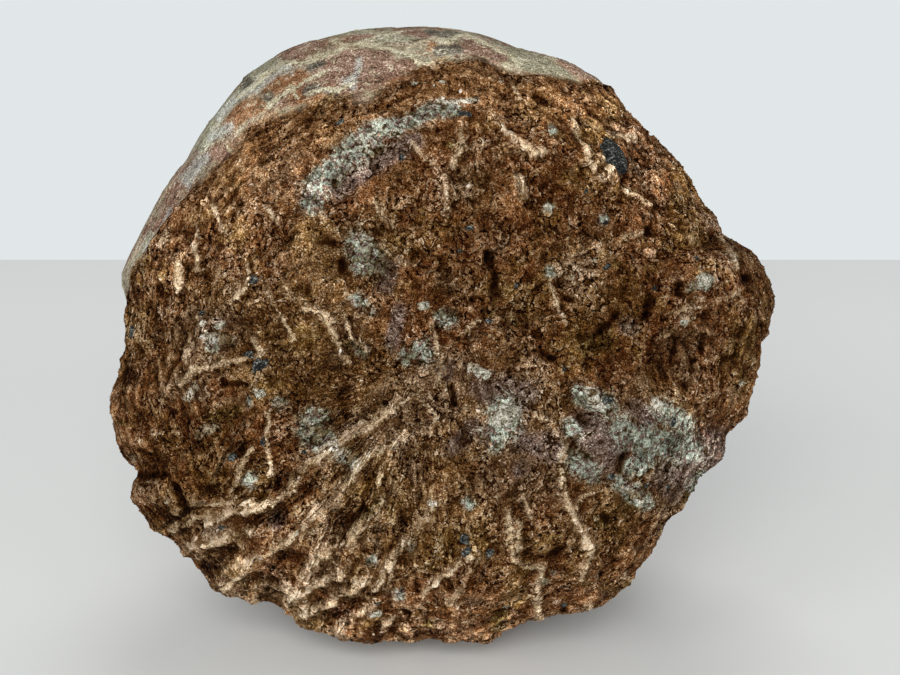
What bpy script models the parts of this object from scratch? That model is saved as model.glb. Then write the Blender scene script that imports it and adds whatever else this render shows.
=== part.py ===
"""A fossil dinosaur egg, still held in the lump of sandstone that broke away with it.

The stone is one solid. A round shell forms the back and a crescent along the top and
left. The front is a rough break through red-brown sandstone, with raised veins that fan
out to the lower edge, hollows, lumps and ledges. It rests on a small flat underneath.

The surface is worked out from the centre of the egg. Each direction from that centre has
an angle off the line that looks straight into the broken face, and a bearing around it.
X is right, -Y is the side of the broken face, Z is up. Lists are in millimetres.
"""

import math

import bmesh
import bpy
import numpy as np

MM = 0.001

# The whole stone
CENTRE = (-0.6, -11.0, 77.9)     # centre of the egg, above the surface it rests on
FACE_LEAN = math.radians(14)    # the broken face leans back by this much
FACE_DEPTH = 45.0               # from the centre to the middle of the broken face
FACE_POWER = 2.4                # above 2 the face is flatter and its rim tighter
BACK_DEPTH = 75.0               # from the centre to the back of the shell
SHELL_RADIUS = 79.0             # of the egg, across the line into the face
SEAT_DROP = 9.0                 # how far the underside swells, to be cut flat
SEAT_SPREAD = math.radians(34)  # the width of that swelling, as a bearing
WRAP_END = math.radians(118)    # angle where the rim has given way to the round egg
STUDY_DISTANCE = 520.0          # the face is laid out as an eye this far away sees it

# Outline of the stone, seen along the line into the face: right and up from the centre
RIM = [
    (84, 0), (85.7, 9.7), (82.8, 16.4), (80.3, 20.4), (75.2, 24.7), (72, 25.2), (71, 30.2),
    (66.5, 35.8), (62.5, 42.5), (58, 47.5), (53, 51), (49.2, 55.1), (44.2, 59.4), (39.2, 64.8),
    (30.8, 69.6), (19.7, 73.8), (10, 77.7), (0, 79.2), (-10, 79), (-20, 78.2), (-30, 75.8),
    (-40, 71.8), (-50, 65), (-58, 55.5), (-65, 45), (-70, 38.5), (-77.5, 24.5),
    (-81.3, 15.5), (-78.4, 7.8), (-78.2, -4.9), (-80.6, -10.7), (-81.6, -16.4), (-80.8, -21.6),
    (-79.6, -30), (-76.2, -33.9), (-76.9, -41.6), (-74, -49.7), (-67.6, -53.6),
    (-63.8, -58.7), (-57.4, -65), (-48.5, -67.6), (-38.3, -69.6), (-33.2, -74),
    (-25, -75.5), (-16.6, -78.3), (-10, -76.8), (7.7, -77), (12, -78), (15.3, -75.7),
    (26.8, -71.9), (33, -72), (40.8, -68.9), (45, -66), (51, -60), (54.8, -54.3),
    (57.4, -48.5), (63.8, -42), (66.3, -37), (72.7, -30.6), (73.2, -25.5),
    (77.8, -20.4), (79, -15.3), (82.1, -1.3),
]
RIM_SHRINK = 0.991              # the true outline is a little smaller than the one seen

# Where rough sandstone ends and shell begins: bearing and angle off the face, in degrees
SHELL_EDGE = [
    (0, 118), (40, 100), (53, 86), (61, 71.5), (70, 68), (82, 67.5), (90, 64.5), (99, 62),
    (108, 59.5), (119, 62.5), (130, 66), (141, 68), (151, 69.5), (160, 72), (171, 77),
    (178, 88), (182, 96), (205, 112), (240, 122), (300, 124),
]
EDGE_BLEND = 2.0                # half the width in which one gives way to the other
LIP_WIDTH = 4.0                 # the sandstone ends in a low lip along that line
LIP_HEIGHT = 1.6

# Broad swellings and hollows of the face: right, up, reach right, reach up, height
SWELLS = [
    (40, 8, 27, 22, -6.0), (18, 5, 12, 8, -2.5), (-26, -6, 15, 8, -2.5),
    (-5, 50, 34, 9, 2.5), (-4, -46, 36, 20, 3.0), (43, 46, 7, 5, 1.8),
    (72, 12, 10, 12, 3.0), (-72, -39, 6, 5, 2.2), (-80, -20, 6, 8, 2.0),
    (-58, -22, 12, 9, -2.5), (16, -22, 6, 5, 1.5), (44, -26, 16, 9, 1.5),
]

# Raised veins and bands: half width, height, and the points they run through
RAISED = [
    (2.3, 1.7, [(-3, -12), (-15, -21), (-25, -27), (-36, -34)]),
    (1.9, 1.3, [(-9, -25), (-18, -31), (-24, -37)]),
    (2.0, 1.6, [(-67, -48), (-57, -45), (-46, -43), (-36, -37)]),
    (2.0, 1.6, [(-64, -54), (-53, -51), (-46, -49)]),
    (2.2, 2.0, [(-53, -63), (-44, -54), (-34, -47), (-26, -40)]),
    (3.2, 2.2, [(-36, -66), (-30, -55), (-19, -48), (-14, -43)]),
    (2.1, 1.6, [(-33, -71), (-23, -62), (-17, -58)]),
    (2.5, 1.6, [(-24, -73), (-15, -66.5)]),
    (2.1, 1.8, [(-15, -61), (-10, -52), (-1, -40)]),
    (1.9, 1.2, [(-1, -61), (7, -54)]),
    (1.9, 1.4, [(18, -45), (19, -55), (25, -60), (25, -70)]),
    (1.9, 1.5, [(25, -20), (32, -28), (30, -35), (36, -49), (37, -58)]),
    (3.6, 1.2, [(-33, 34), (-25, 44), (-10, 52), (8, 58)]),
    (1.8, 1.5, [(13, 55), (18, 49.5), (26, 46)]),
    (1.8, 1.3, [(7, 54), (4, 43)]),
    (1.8, 1.3, [(1, 39), (2, 30)]),
    (2.4, 1.3, [(20.5, 39), (20.5, 35)]),
    (1.8, 1.2, [(-1, 3), (0, -10)]),
    (2.6, 1.3, [(60, 0), (74, 10)]),
    (1.8, 1.3, [(-63, 23), (-61, 17)]),
    (1.8, 1.3, [(-50, 20), (-50, 11)]),
    (2.0, 1.4, [(-39, 12), (-29, 2), (-27, -8)]),
    (1.9, 1.5, [(-65, -8), (-58, -6.5), (-50, -7.5)]),
]

# Cracks, channels and holes: half width, depth, and the points they run through
SUNK = [
    (2.0, 2.6, [(14, 22), (17, 12)]),
    (2.6, 2.4, [(-30, 23), (-26, 23)]),
    (2.2, 2.4, [(36, 10), (39, 10)]),
    (2.0, 2.2, [(29, -5), (31, -5)]),
    (2.6, 2.6, [(76, 16), (77, 12)]),
    (2.0, 2.4, [(43, -48), (43, -45)]),
    (2.0, 2.4, [(13, -71), (16, -70)]),
    (1.8, 2.6, [(-65, -38), (-63, -44)]),
    (1.6, 2.2, [(-77, -35), (-67, -35)]),
    (1.6, 2.4, [(4, -15), (4, -20)]),
    (1.8, 2.2, [(44, 1), (50, 6)]),
    (1.8, 2.2, [(56, 4), (57, 9)]),
]

# Broken stone: cell size and height of each layer of roughness
ROUGH_LAYERS = [(16.0, 1.3), (8.0, 1.1), (4.5, 0.6)]
SHELL_LAYERS = [(34.0, 1.0), (15.0, 0.35)]

GRID_CUTS = 59                  # cuts across each side of the starting cube
KEPT_SHARE = 0.22               # of its faces, once they are gathered on the relief
CUTTER_SIZE = 0.4
STONE_COLOUR = (0.132, 0.078, 0.038, 1.0)
STONE_ROUGHNESS = 0.88


def smooth_step(value, start, end):
    """0 before start, 1 after end, and an S-shaped rise between them."""
    share = np.clip((value - start) / (end - start), 0.0, 1.0)
    return share * share * (3.0 - 2.0 * share)


def around(bearing, bearings, values):
    """Read a value that is given at some bearings, in a closed ring, at any bearing."""
    order = np.argsort(bearings)
    ring = np.asarray(bearings, float)[order]
    row = np.asarray(values, float)[order]
    ring = np.concatenate([ring[-1:] - math.tau, ring, ring[:1] + math.tau])
    row = np.concatenate([row[-1:], row, row[:1]])
    return np.interp(bearing, ring, row)


def lattice_value(corner, seed):
    """A fixed number from -1 to 1 for each whole-number corner of a lattice."""
    mixed = corner[:, 0] * 374761393 + corner[:, 1] * 668265263
    mixed = (mixed + corner[:, 2] * 1442695041 + seed * 1274126177) & 0xFFFFFFFF
    mixed = ((mixed ^ (mixed >> 13)) * 1274126177) & 0xFFFFFFFF
    return (mixed ^ (mixed >> 16)) / 2.0 ** 31 - 1.0


def noise(points, cell, seed):
    """Smooth noise: lattice values blended between the eight corners of each cell."""
    scaled = points / cell
    low = np.floor(scaled).astype(np.int64)
    share = scaled - low
    share = share * share * (3.0 - 2.0 * share)
    total = np.zeros(len(points))
    for x in (0, 1):
        for y in (0, 1):
            for z in (0, 1):
                pick = np.abs(1.0 - np.array([x, y, z]) - share)
                total += pick.prod(axis=1) * lattice_value(low + [x, y, z], seed)
    return total


def distance_to_line(spots, line):
    """How far each spot is from a line that runs through the given points."""
    nearest = np.full(len(spots), np.inf)
    corners = np.asarray(line, float)
    for start, end in zip(corners[:-1], corners[1:]):
        run = end - start
        share = np.clip(((spots - start) @ run) / (run @ run), 0.0, 1.0)
        gap = np.linalg.norm(spots - start - share[:, None] * run, axis=1)
        nearest = np.minimum(nearest, gap)
    return nearest


def egg_radius(angle, bearing):
    """Distance from the centre to the plain form: a flattened front on a round back."""
    rim = np.array(RIM, float) * RIM_SHRINK
    rim_bearing = np.arctan2(rim[:, 1], rim[:, 0]) % math.tau
    rim_radius = around(bearing, rim_bearing, np.hypot(rim[:, 0], rim[:, 1]))
    underside = np.exp(-((bearing - 1.5 * math.pi) / SEAT_SPREAD) ** 2)
    shell_radius = SHELL_RADIUS + SEAT_DROP * underside
    fade = smooth_step(angle, math.pi / 2, WRAP_END)
    side = rim_radius + (shell_radius - rim_radius) * fade
    front = angle < math.pi / 2
    power = np.where(front, FACE_POWER, 2.0)
    depth = np.where(front, FACE_DEPTH, BACK_DEPTH)
    across = (np.sin(angle) / side) ** power
    along = (np.abs(np.cos(angle)) / depth) ** power
    return (across + along) ** (-1.0 / power)


def directions(angle, bearing):
    """Unit directions in the face's own axes: right, up the face, out of the face."""
    across = np.sin(angle)
    return np.stack(
        [across * np.cos(bearing), across * np.sin(bearing), np.cos(angle)], axis=1
    )


def stone_points(angle, bearing):
    """The finished surface, in the face's own axes, for each angle and bearing."""
    toward = directions(angle, bearing)
    radius = egg_radius(angle, bearing)
    plain = toward * radius[:, None]
    seen = plain[:, :2] * (STUDY_DISTANCE / (STUDY_DISTANCE - plain[:, 2]))[:, None]

    edge = np.radians(np.array(SHELL_EDGE, float))
    past_edge = (around(bearing, edge[:, 0], edge[:, 1]) - angle) * radius
    rough = smooth_step(past_edge, -EDGE_BLEND, EDGE_BLEND)
    lip = LIP_HEIGHT * np.exp(-((past_edge - EDGE_BLEND) / LIP_WIDTH) ** 2) * rough

    relief = np.zeros(len(angle))
    for right, up, reach_right, reach_up, height in SWELLS:
        off = ((seen[:, 0] - right) / reach_right) ** 2 + ((seen[:, 1] - up) / reach_up) ** 2
        relief += height * np.exp(-off)
    for half_width, height, line in RAISED:
        relief += height * np.exp(-(distance_to_line(seen, line) / half_width) ** 2)
    for half_width, depth, line in SUNK:
        relief -= depth * np.exp(-(distance_to_line(seen, line) / half_width) ** 2)
    relief *= smooth_step(-angle, -math.radians(98), -math.radians(80))

    for seed, (cell, height) in enumerate(ROUGH_LAYERS):
        relief += height * noise(plain, cell, seed) * rough
    for seed, (cell, height) in enumerate(SHELL_LAYERS):
        relief += height * noise(plain, cell, seed + 10) * (1.0 - rough)
    return toward * (radius + relief + lip)[:, None]


def to_world(points):
    """Lean the face back, stand the centre at its height and turn mm into metres."""
    right, up, out = points.T
    lean_cos = math.cos(FACE_LEAN)
    lean_sin = math.sin(FACE_LEAN)
    turned = np.stack([right, up * lean_sin - out * lean_cos, up * lean_cos + out * lean_sin])
    return (turned.T + np.array(CENTRE)) * MM


def stone_mesh():
    """A finely cut cube, each point pushed out to the surface of the stone."""
    grid = bmesh.new()
    bmesh.ops.create_cube(grid, size=2.0)
    bmesh.ops.subdivide_edges(grid, edges=grid.edges[:], cuts=GRID_CUTS, use_grid_fill=True)
    mesh = bpy.data.meshes.new("fossil_egg")
    grid.to_mesh(mesh)
    grid.free()

    cube = np.empty(len(mesh.vertices) * 3)
    mesh.vertices.foreach_get("co", cube)
    even = np.tan(cube.reshape(-1, 3) * math.pi / 4)
    even /= np.linalg.norm(even, axis=1)[:, None]
    angle = np.arccos(np.clip(-even[:, 1], -1.0, 1.0))
    bearing = np.arctan2(even[:, 2], even[:, 0]) % math.tau
    mesh.vertices.foreach_set("co", to_world(stone_points(angle, bearing)).ravel())
    mesh.update()
    return mesh


def stone_material():
    """Dull red-brown sandstone."""
    material = bpy.data.materials.new("sandstone")
    material.use_nodes = True
    shader = material.node_tree.nodes["Principled BSDF"]
    shader.inputs["Base Color"].default_value = STONE_COLOUR
    shader.inputs["Roughness"].default_value = STONE_ROUGHNESS
    shader.inputs["Metallic"].default_value = 0.0
    material.diffuse_color = STONE_COLOUR
    return material


def seat_cutter(collection):
    """A block whose top is the surface that the stone rests on."""
    bpy.ops.mesh.primitive_cube_add(size=CUTTER_SIZE, location=(0, 0, -CUTTER_SIZE / 2))
    cutter = bpy.context.object
    cutter.name = "seat_cutter"
    for holder in list(cutter.users_collection):
        holder.objects.unlink(cutter)
    collection.objects.link(cutter)
    cutter.hide_render = True
    cutter.display_type = 'WIRE'
    return cutter


def build():
    """Clear the scene, then make the stone and cut its seat flat."""
    for item in list(bpy.data.objects):
        bpy.data.objects.remove(item, do_unlink=True)
    parts = bpy.data.collections.new("fossil_dinosaur_egg")
    cutters = bpy.data.collections.new("cutters")
    bpy.context.scene.collection.children.link(parts)
    bpy.context.scene.collection.children.link(cutters)

    egg = bpy.data.objects.new("fossil_egg", stone_mesh())
    egg.data.materials.append(stone_material())
    parts.objects.link(egg)

    gather = egg.modifiers.new("gather_faces_on_relief", 'DECIMATE')
    gather.ratio = KEPT_SHARE
    seat = egg.modifiers.new("seat", 'BOOLEAN')
    seat.operation = 'DIFFERENCE'
    seat.solver = 'EXACT'
    seat.object = seat_cutter(cutters)


build()
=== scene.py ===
"""Looks of a fossil dinosaur egg, still held in the red-brown sandstone that broke away
with it: a rough veined break in front, and the smooth stone shell of the egg behind.

Shapes are worked out in millimetres in the broken face's own axes (right, up the face,
out of the face) and turned into metres in the model's frame at the end.
"""

import math

import bpy
import numpy as np
from mathutils import Matrix, Vector


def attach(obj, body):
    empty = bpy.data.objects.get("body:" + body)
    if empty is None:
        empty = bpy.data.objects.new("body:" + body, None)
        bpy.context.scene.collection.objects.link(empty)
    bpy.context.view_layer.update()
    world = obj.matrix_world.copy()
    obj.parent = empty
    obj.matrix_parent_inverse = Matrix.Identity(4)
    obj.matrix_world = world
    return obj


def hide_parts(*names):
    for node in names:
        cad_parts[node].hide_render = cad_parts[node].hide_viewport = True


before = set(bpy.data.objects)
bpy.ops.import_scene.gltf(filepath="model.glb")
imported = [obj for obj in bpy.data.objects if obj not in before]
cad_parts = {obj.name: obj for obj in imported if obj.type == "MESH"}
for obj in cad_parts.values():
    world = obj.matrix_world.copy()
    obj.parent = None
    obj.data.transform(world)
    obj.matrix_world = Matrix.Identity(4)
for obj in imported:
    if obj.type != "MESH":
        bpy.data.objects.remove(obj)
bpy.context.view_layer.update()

# ---- Camera --------------------------------------------------------------------------
# A long lens a little above the stone, looking straight into the broken face. It stands
# on the line that leans back from level by the same angle as the face.
MM = 0.001
EGG_CENTRE = np.array([-0.6, -11.0, 77.9])
FACE_LEAN = math.radians(14)
RIGHT = np.array([1.0, 0.0, 0.0])
UP_FACE = np.array([0.0, math.sin(FACE_LEAN), math.cos(FACE_LEAN)])
OUT_OF_FACE = np.array([0.0, -math.cos(FACE_LEAN), math.sin(FACE_LEAN)])
EYE_DISTANCE = 520.0
LENS = 81.6
FILM_WIDTH = 36.0
SIGHT = (0.01, 20.0)             # the nearest and farthest that the camera sees, in metres
AIM = 2.6 * RIGHT - 0.6 * UP_FACE

eye = bpy.data.objects.new("camera", bpy.data.cameras.new("camera"))
eye.data.lens = LENS
eye.data.sensor_width = FILM_WIDTH
eye.data.clip_start = SIGHT[0]
eye.data.clip_end = SIGHT[1]
spot = (EGG_CENTRE + AIM + OUT_OF_FACE * EYE_DISTANCE) * MM
axes = Matrix([RIGHT, UP_FACE, OUT_OF_FACE]).transposed()
eye.matrix_world = Matrix.Translation(Vector(spot)) @ axes.to_4x4()
bpy.context.scene.collection.objects.link(eye)
bpy.context.scene.camera = eye
bpy.context.scene.view_settings.view_transform = 'Standard'

# ---- Studio --------------------------------------------------------------------------
# A pale table that ends a little way behind the stone. Its colour is painted lighter towards
# the back, as painted light. Past its edge shows a pale wall, which glows and stays below the
# table's level. Large soft lamps hang above and in front.
TABLE_END = 0.455
TABLE_REACH = 3.0
TABLE_FRONT = (0.87, 0.885, 0.865, 1.0)
TABLE_BACK_PAINTED_LIGHT = (0.98, 0.995, 0.985, 1.0)
# Painted light: between these depths the table's colour turns lighter from front to back.
TABLE_PAINTED_LIGHT_FADE = (-0.15, 0.35)       # from front to back, where one tint turns to the other
TABLE_ROUGHNESS = 0.6
WALL_WHITE = (0.755, 0.80, 0.81, 1.0)
WALL_DISTANCE = 3.0
WALL_TOP = -0.02
ROOM_LIGHT = (0.97, 0.985, 1.0, 1.0)
ROOM_STRENGTH = 0.22
LAMPS = [  # name, place, aim, size and watts
    ("lamp_above", (0.1, 0.5, 1.4), (0, 0.45, 0.0), 0.8, 4.6),
    ("lamp_left", (-1.6, -1.9, 1.4), (0, 0, 0.08), 1.1, 12.0),
    ("lamp_right", (1.4, -2.3, 1.0), (0, 0, 0.08), 1.3, 10.0),
    ("lamp_front", (-0.15, -2.2, 1.0), (0, 0, 0.06), 1.3, 43.0),
    ("lamp_low", (-0.1, -1.9, 0.40), (0, 0, 0.04), 0.7, 8.0),
]


def plain_finish(name, colour, roughness):
    """A Principled material of one colour, for the studio only."""
    finish = bpy.data.materials.new(name)
    finish.use_nodes = True
    shader = finish.node_tree.nodes["Principled BSDF"]
    shader.inputs["Base Color"].default_value = colour
    shader.inputs["Roughness"].default_value = roughness
    return finish


def flat_sheet(name, corners, finish):
    """One four-cornered face through the given corners, marked as studio."""
    mesh = bpy.data.meshes.new(name)
    mesh.from_pydata(corners, [], [(0, 1, 2, 3)])
    mesh.materials.append(finish)
    sheet = bpy.data.objects.new(name, mesh)
    bpy.context.scene.collection.objects.link(sheet)


near, far, side = -TABLE_REACH, TABLE_END, TABLE_REACH
table_finish = plain_finish("table_white", TABLE_FRONT, TABLE_ROUGHNESS)
table_nodes = table_finish.node_tree.nodes
# Painted light on the table: its colour lightens from front to back.
table_place = table_nodes.new("ShaderNodeTexCoord")
table_depth = table_nodes.new("ShaderNodeSeparateXYZ")
table_light_fade = table_nodes.new("ShaderNodeMapRange")
table_light_fade.inputs["From Min"].default_value = TABLE_PAINTED_LIGHT_FADE[0]
table_light_fade.inputs["From Max"].default_value = TABLE_PAINTED_LIGHT_FADE[1]
table_painted_light = table_nodes.new("ShaderNodeValToRGB")
table_painted_light.color_ramp.elements[0].color = TABLE_FRONT
table_painted_light.color_ramp.elements[1].color = TABLE_BACK_PAINTED_LIGHT
for start, end in (
    (table_place.outputs["Object"], table_depth.inputs[0]),
    (table_depth.outputs["Y"], table_light_fade.inputs["Value"]),
    (table_light_fade.outputs[0], table_painted_light.inputs[0]),
    (table_painted_light.outputs[0], table_nodes["Principled BSDF"].inputs["Base Color"]),
):
    table_finish.node_tree.links.new(start, end)
flat_sheet("table", [(-side, near, 0), (side, near, 0), (side, far, 0), (-side, far, 0)],
           table_finish)
wall_finish = plain_finish("wall_white", (0, 0, 0, 1), 1.0)
wall_glow = wall_finish.node_tree.nodes["Principled BSDF"].inputs
wall_glow["Emission Color"].default_value = WALL_WHITE
wall_glow["Emission Strength"].default_value = 1.0
wall_glow["Specular IOR Level"].default_value = 0.0
flat_sheet(
    "wall",
    [(-side, WALL_DISTANCE, -side), (side, WALL_DISTANCE, -side),
     (side, WALL_DISTANCE, WALL_TOP), (-side, WALL_DISTANCE, WALL_TOP)],
    wall_finish,
)

world = bpy.data.worlds.new("room")
world.use_nodes = True
world.node_tree.nodes["Background"].inputs["Color"].default_value = ROOM_LIGHT
world.node_tree.nodes["Background"].inputs["Strength"].default_value = ROOM_STRENGTH
bpy.context.scene.world = world


def soft_lamp(name, place, aim, size, watts):
    """A square lamp at a place, turned to face its aim."""
    lamp = bpy.data.objects.new(name, bpy.data.lights.new(name, 'AREA'))
    lamp.data.size = size
    lamp.data.energy = watts
    lamp.location = place
    lamp.rotation_euler = (Vector(aim) - Vector(place)).to_track_quat('-Z', 'Y').to_euler()
    bpy.context.scene.collection.objects.link(lamp)


for lamp in LAMPS:
    soft_lamp(*lamp)

# ---- The stone -----------------------------------------------------------------------
# One lump: a round egg turned to stone, in red-brown sandstone that broke across the
# front. Veins of paler stone stand proud of the break, and round the back the shell is
# smooth, in plates parted by pale seams. It rests on a small flat underneath.
FACE_DEPTH = 45.0
FACE_POWER = 2.4
BACK_DEPTH = 75.0
SHELL_RADIUS = 79.0
SEAT_DROP = 9.0
SEAT_SPREAD = math.radians(34)
WRAP_END = math.radians(118)
RIM = [
    (83.8, 0), (84.9, 9.5), (81.9, 16), (79.5, 19.9), (74.6, 24.3), (72, 25.2), (71, 30.1),
    (66.3, 35.7), (62.2, 42.3), (57.6, 47.3), (53.4, 51.4), (49.4, 55.4), (45.2, 60.6), (40, 66.1),
    (31.2, 70.2), (19.7, 73.8), (10, 77.5), (0, 78.9), (-10, 78.6), (-20, 77.7), (-30, 75.2),
    (-40, 71.4), (-50, 65), (-58, 55.5), (-65, 45), (-70, 38.5), (-77.5, 24.5),
    (-81.3, 15.5), (-79.3, 7.9), (-79.1, -4.9), (-80.6, -10.7), (-81.2, -16.3), (-80, -21.4),
    (-80.1, -30.2), (-76, -33.8), (-75.6, -41), (-72.6, -48.7), (-66.2, -52.4),
    (-62.4, -57.4), (-56.1, -63.5), (-47.5, -65.8), (-37.8, -68.3), (-33.2, -73.4),
    (-25, -75.1), (-16.6, -77.9), (-10, -76.6), (7.7, -76.8), (12, -77.6), (15.3, -74.8),
    (26.5, -71), (32.6, -71), (40.6, -68.6), (44.8, -65.6), (50.4, -59.2), (54.1, -53.4),
    (56.6, -47.8), (63, -41.3), (65.3, -36.2), (71.8, -30.2), (73, -25.4),
    (77.8, -20.4), (78.8, -15.2), (81.9, -1.3),
]
RIM_SHRINK = 0.991
SHELL_EDGE = [  # bearing and angle off the face, in degrees, where the shell begins
    (0, 118), (40, 100), (53, 86), (61, 71.5), (70, 68), (82, 67.5), (90, 64.5), (99, 62),
    (108, 59.5), (119, 62.5), (130, 66), (141, 68), (151, 69.5), (160, 72), (171, 77),
    (178, 88), (182, 96), (205, 112), (240, 122), (300, 124),
]
EDGE_BLEND = 2.0
DRIFT = [(7.0, 0.9, 40), (2.6, 0.45, 42)]          # cell, reach and seed of stray in lines
EDGE_WANDER = [(9.0, 2.2, 50), (3.5, 1.2, 51)]     # and of bends in the shell's edge
LIP_WIDTH = 4.0
LIP_HEIGHT = 1.6
TOP_BEARING = 1.9
TOP_REACH = 1.4
FRONT_FADES = (98, 80)           # degrees off the face: where its relief is gone, and whole
COLOUR_FADES = (116, 104)        # the same for the marks of colour
ROUGH_LUMPS = [(16.0, 1.3), (8.0, 0.9), (4.5, 0.4)]    # cell and height in the sandstone
SHELL_LUMPS = [(34.0, 1.0), (15.0, 0.35)]              # and in the shell
SWELLS = [  # right, up, reach right, reach up, height
    (40, 8, 27, 22, -6.0), (18, 5, 12, 8, -2.5), (-26, -6, 15, 8, -2.5),
    (-5, 50, 34, 9, 2.5), (-4, -46, 36, 20, 3.0), (43, 46, 7, 5, 1.8),
    (72, 12, 10, 12, 3.0), (-72, -39, 6, 5, 2.2), (-80, -20, 6, 8, 2.0),
    (-58, -22, 12, 9, -2.5), (16, -22, 6, 5, 1.5), (44, -26, 16, 9, 1.5),
]
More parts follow.
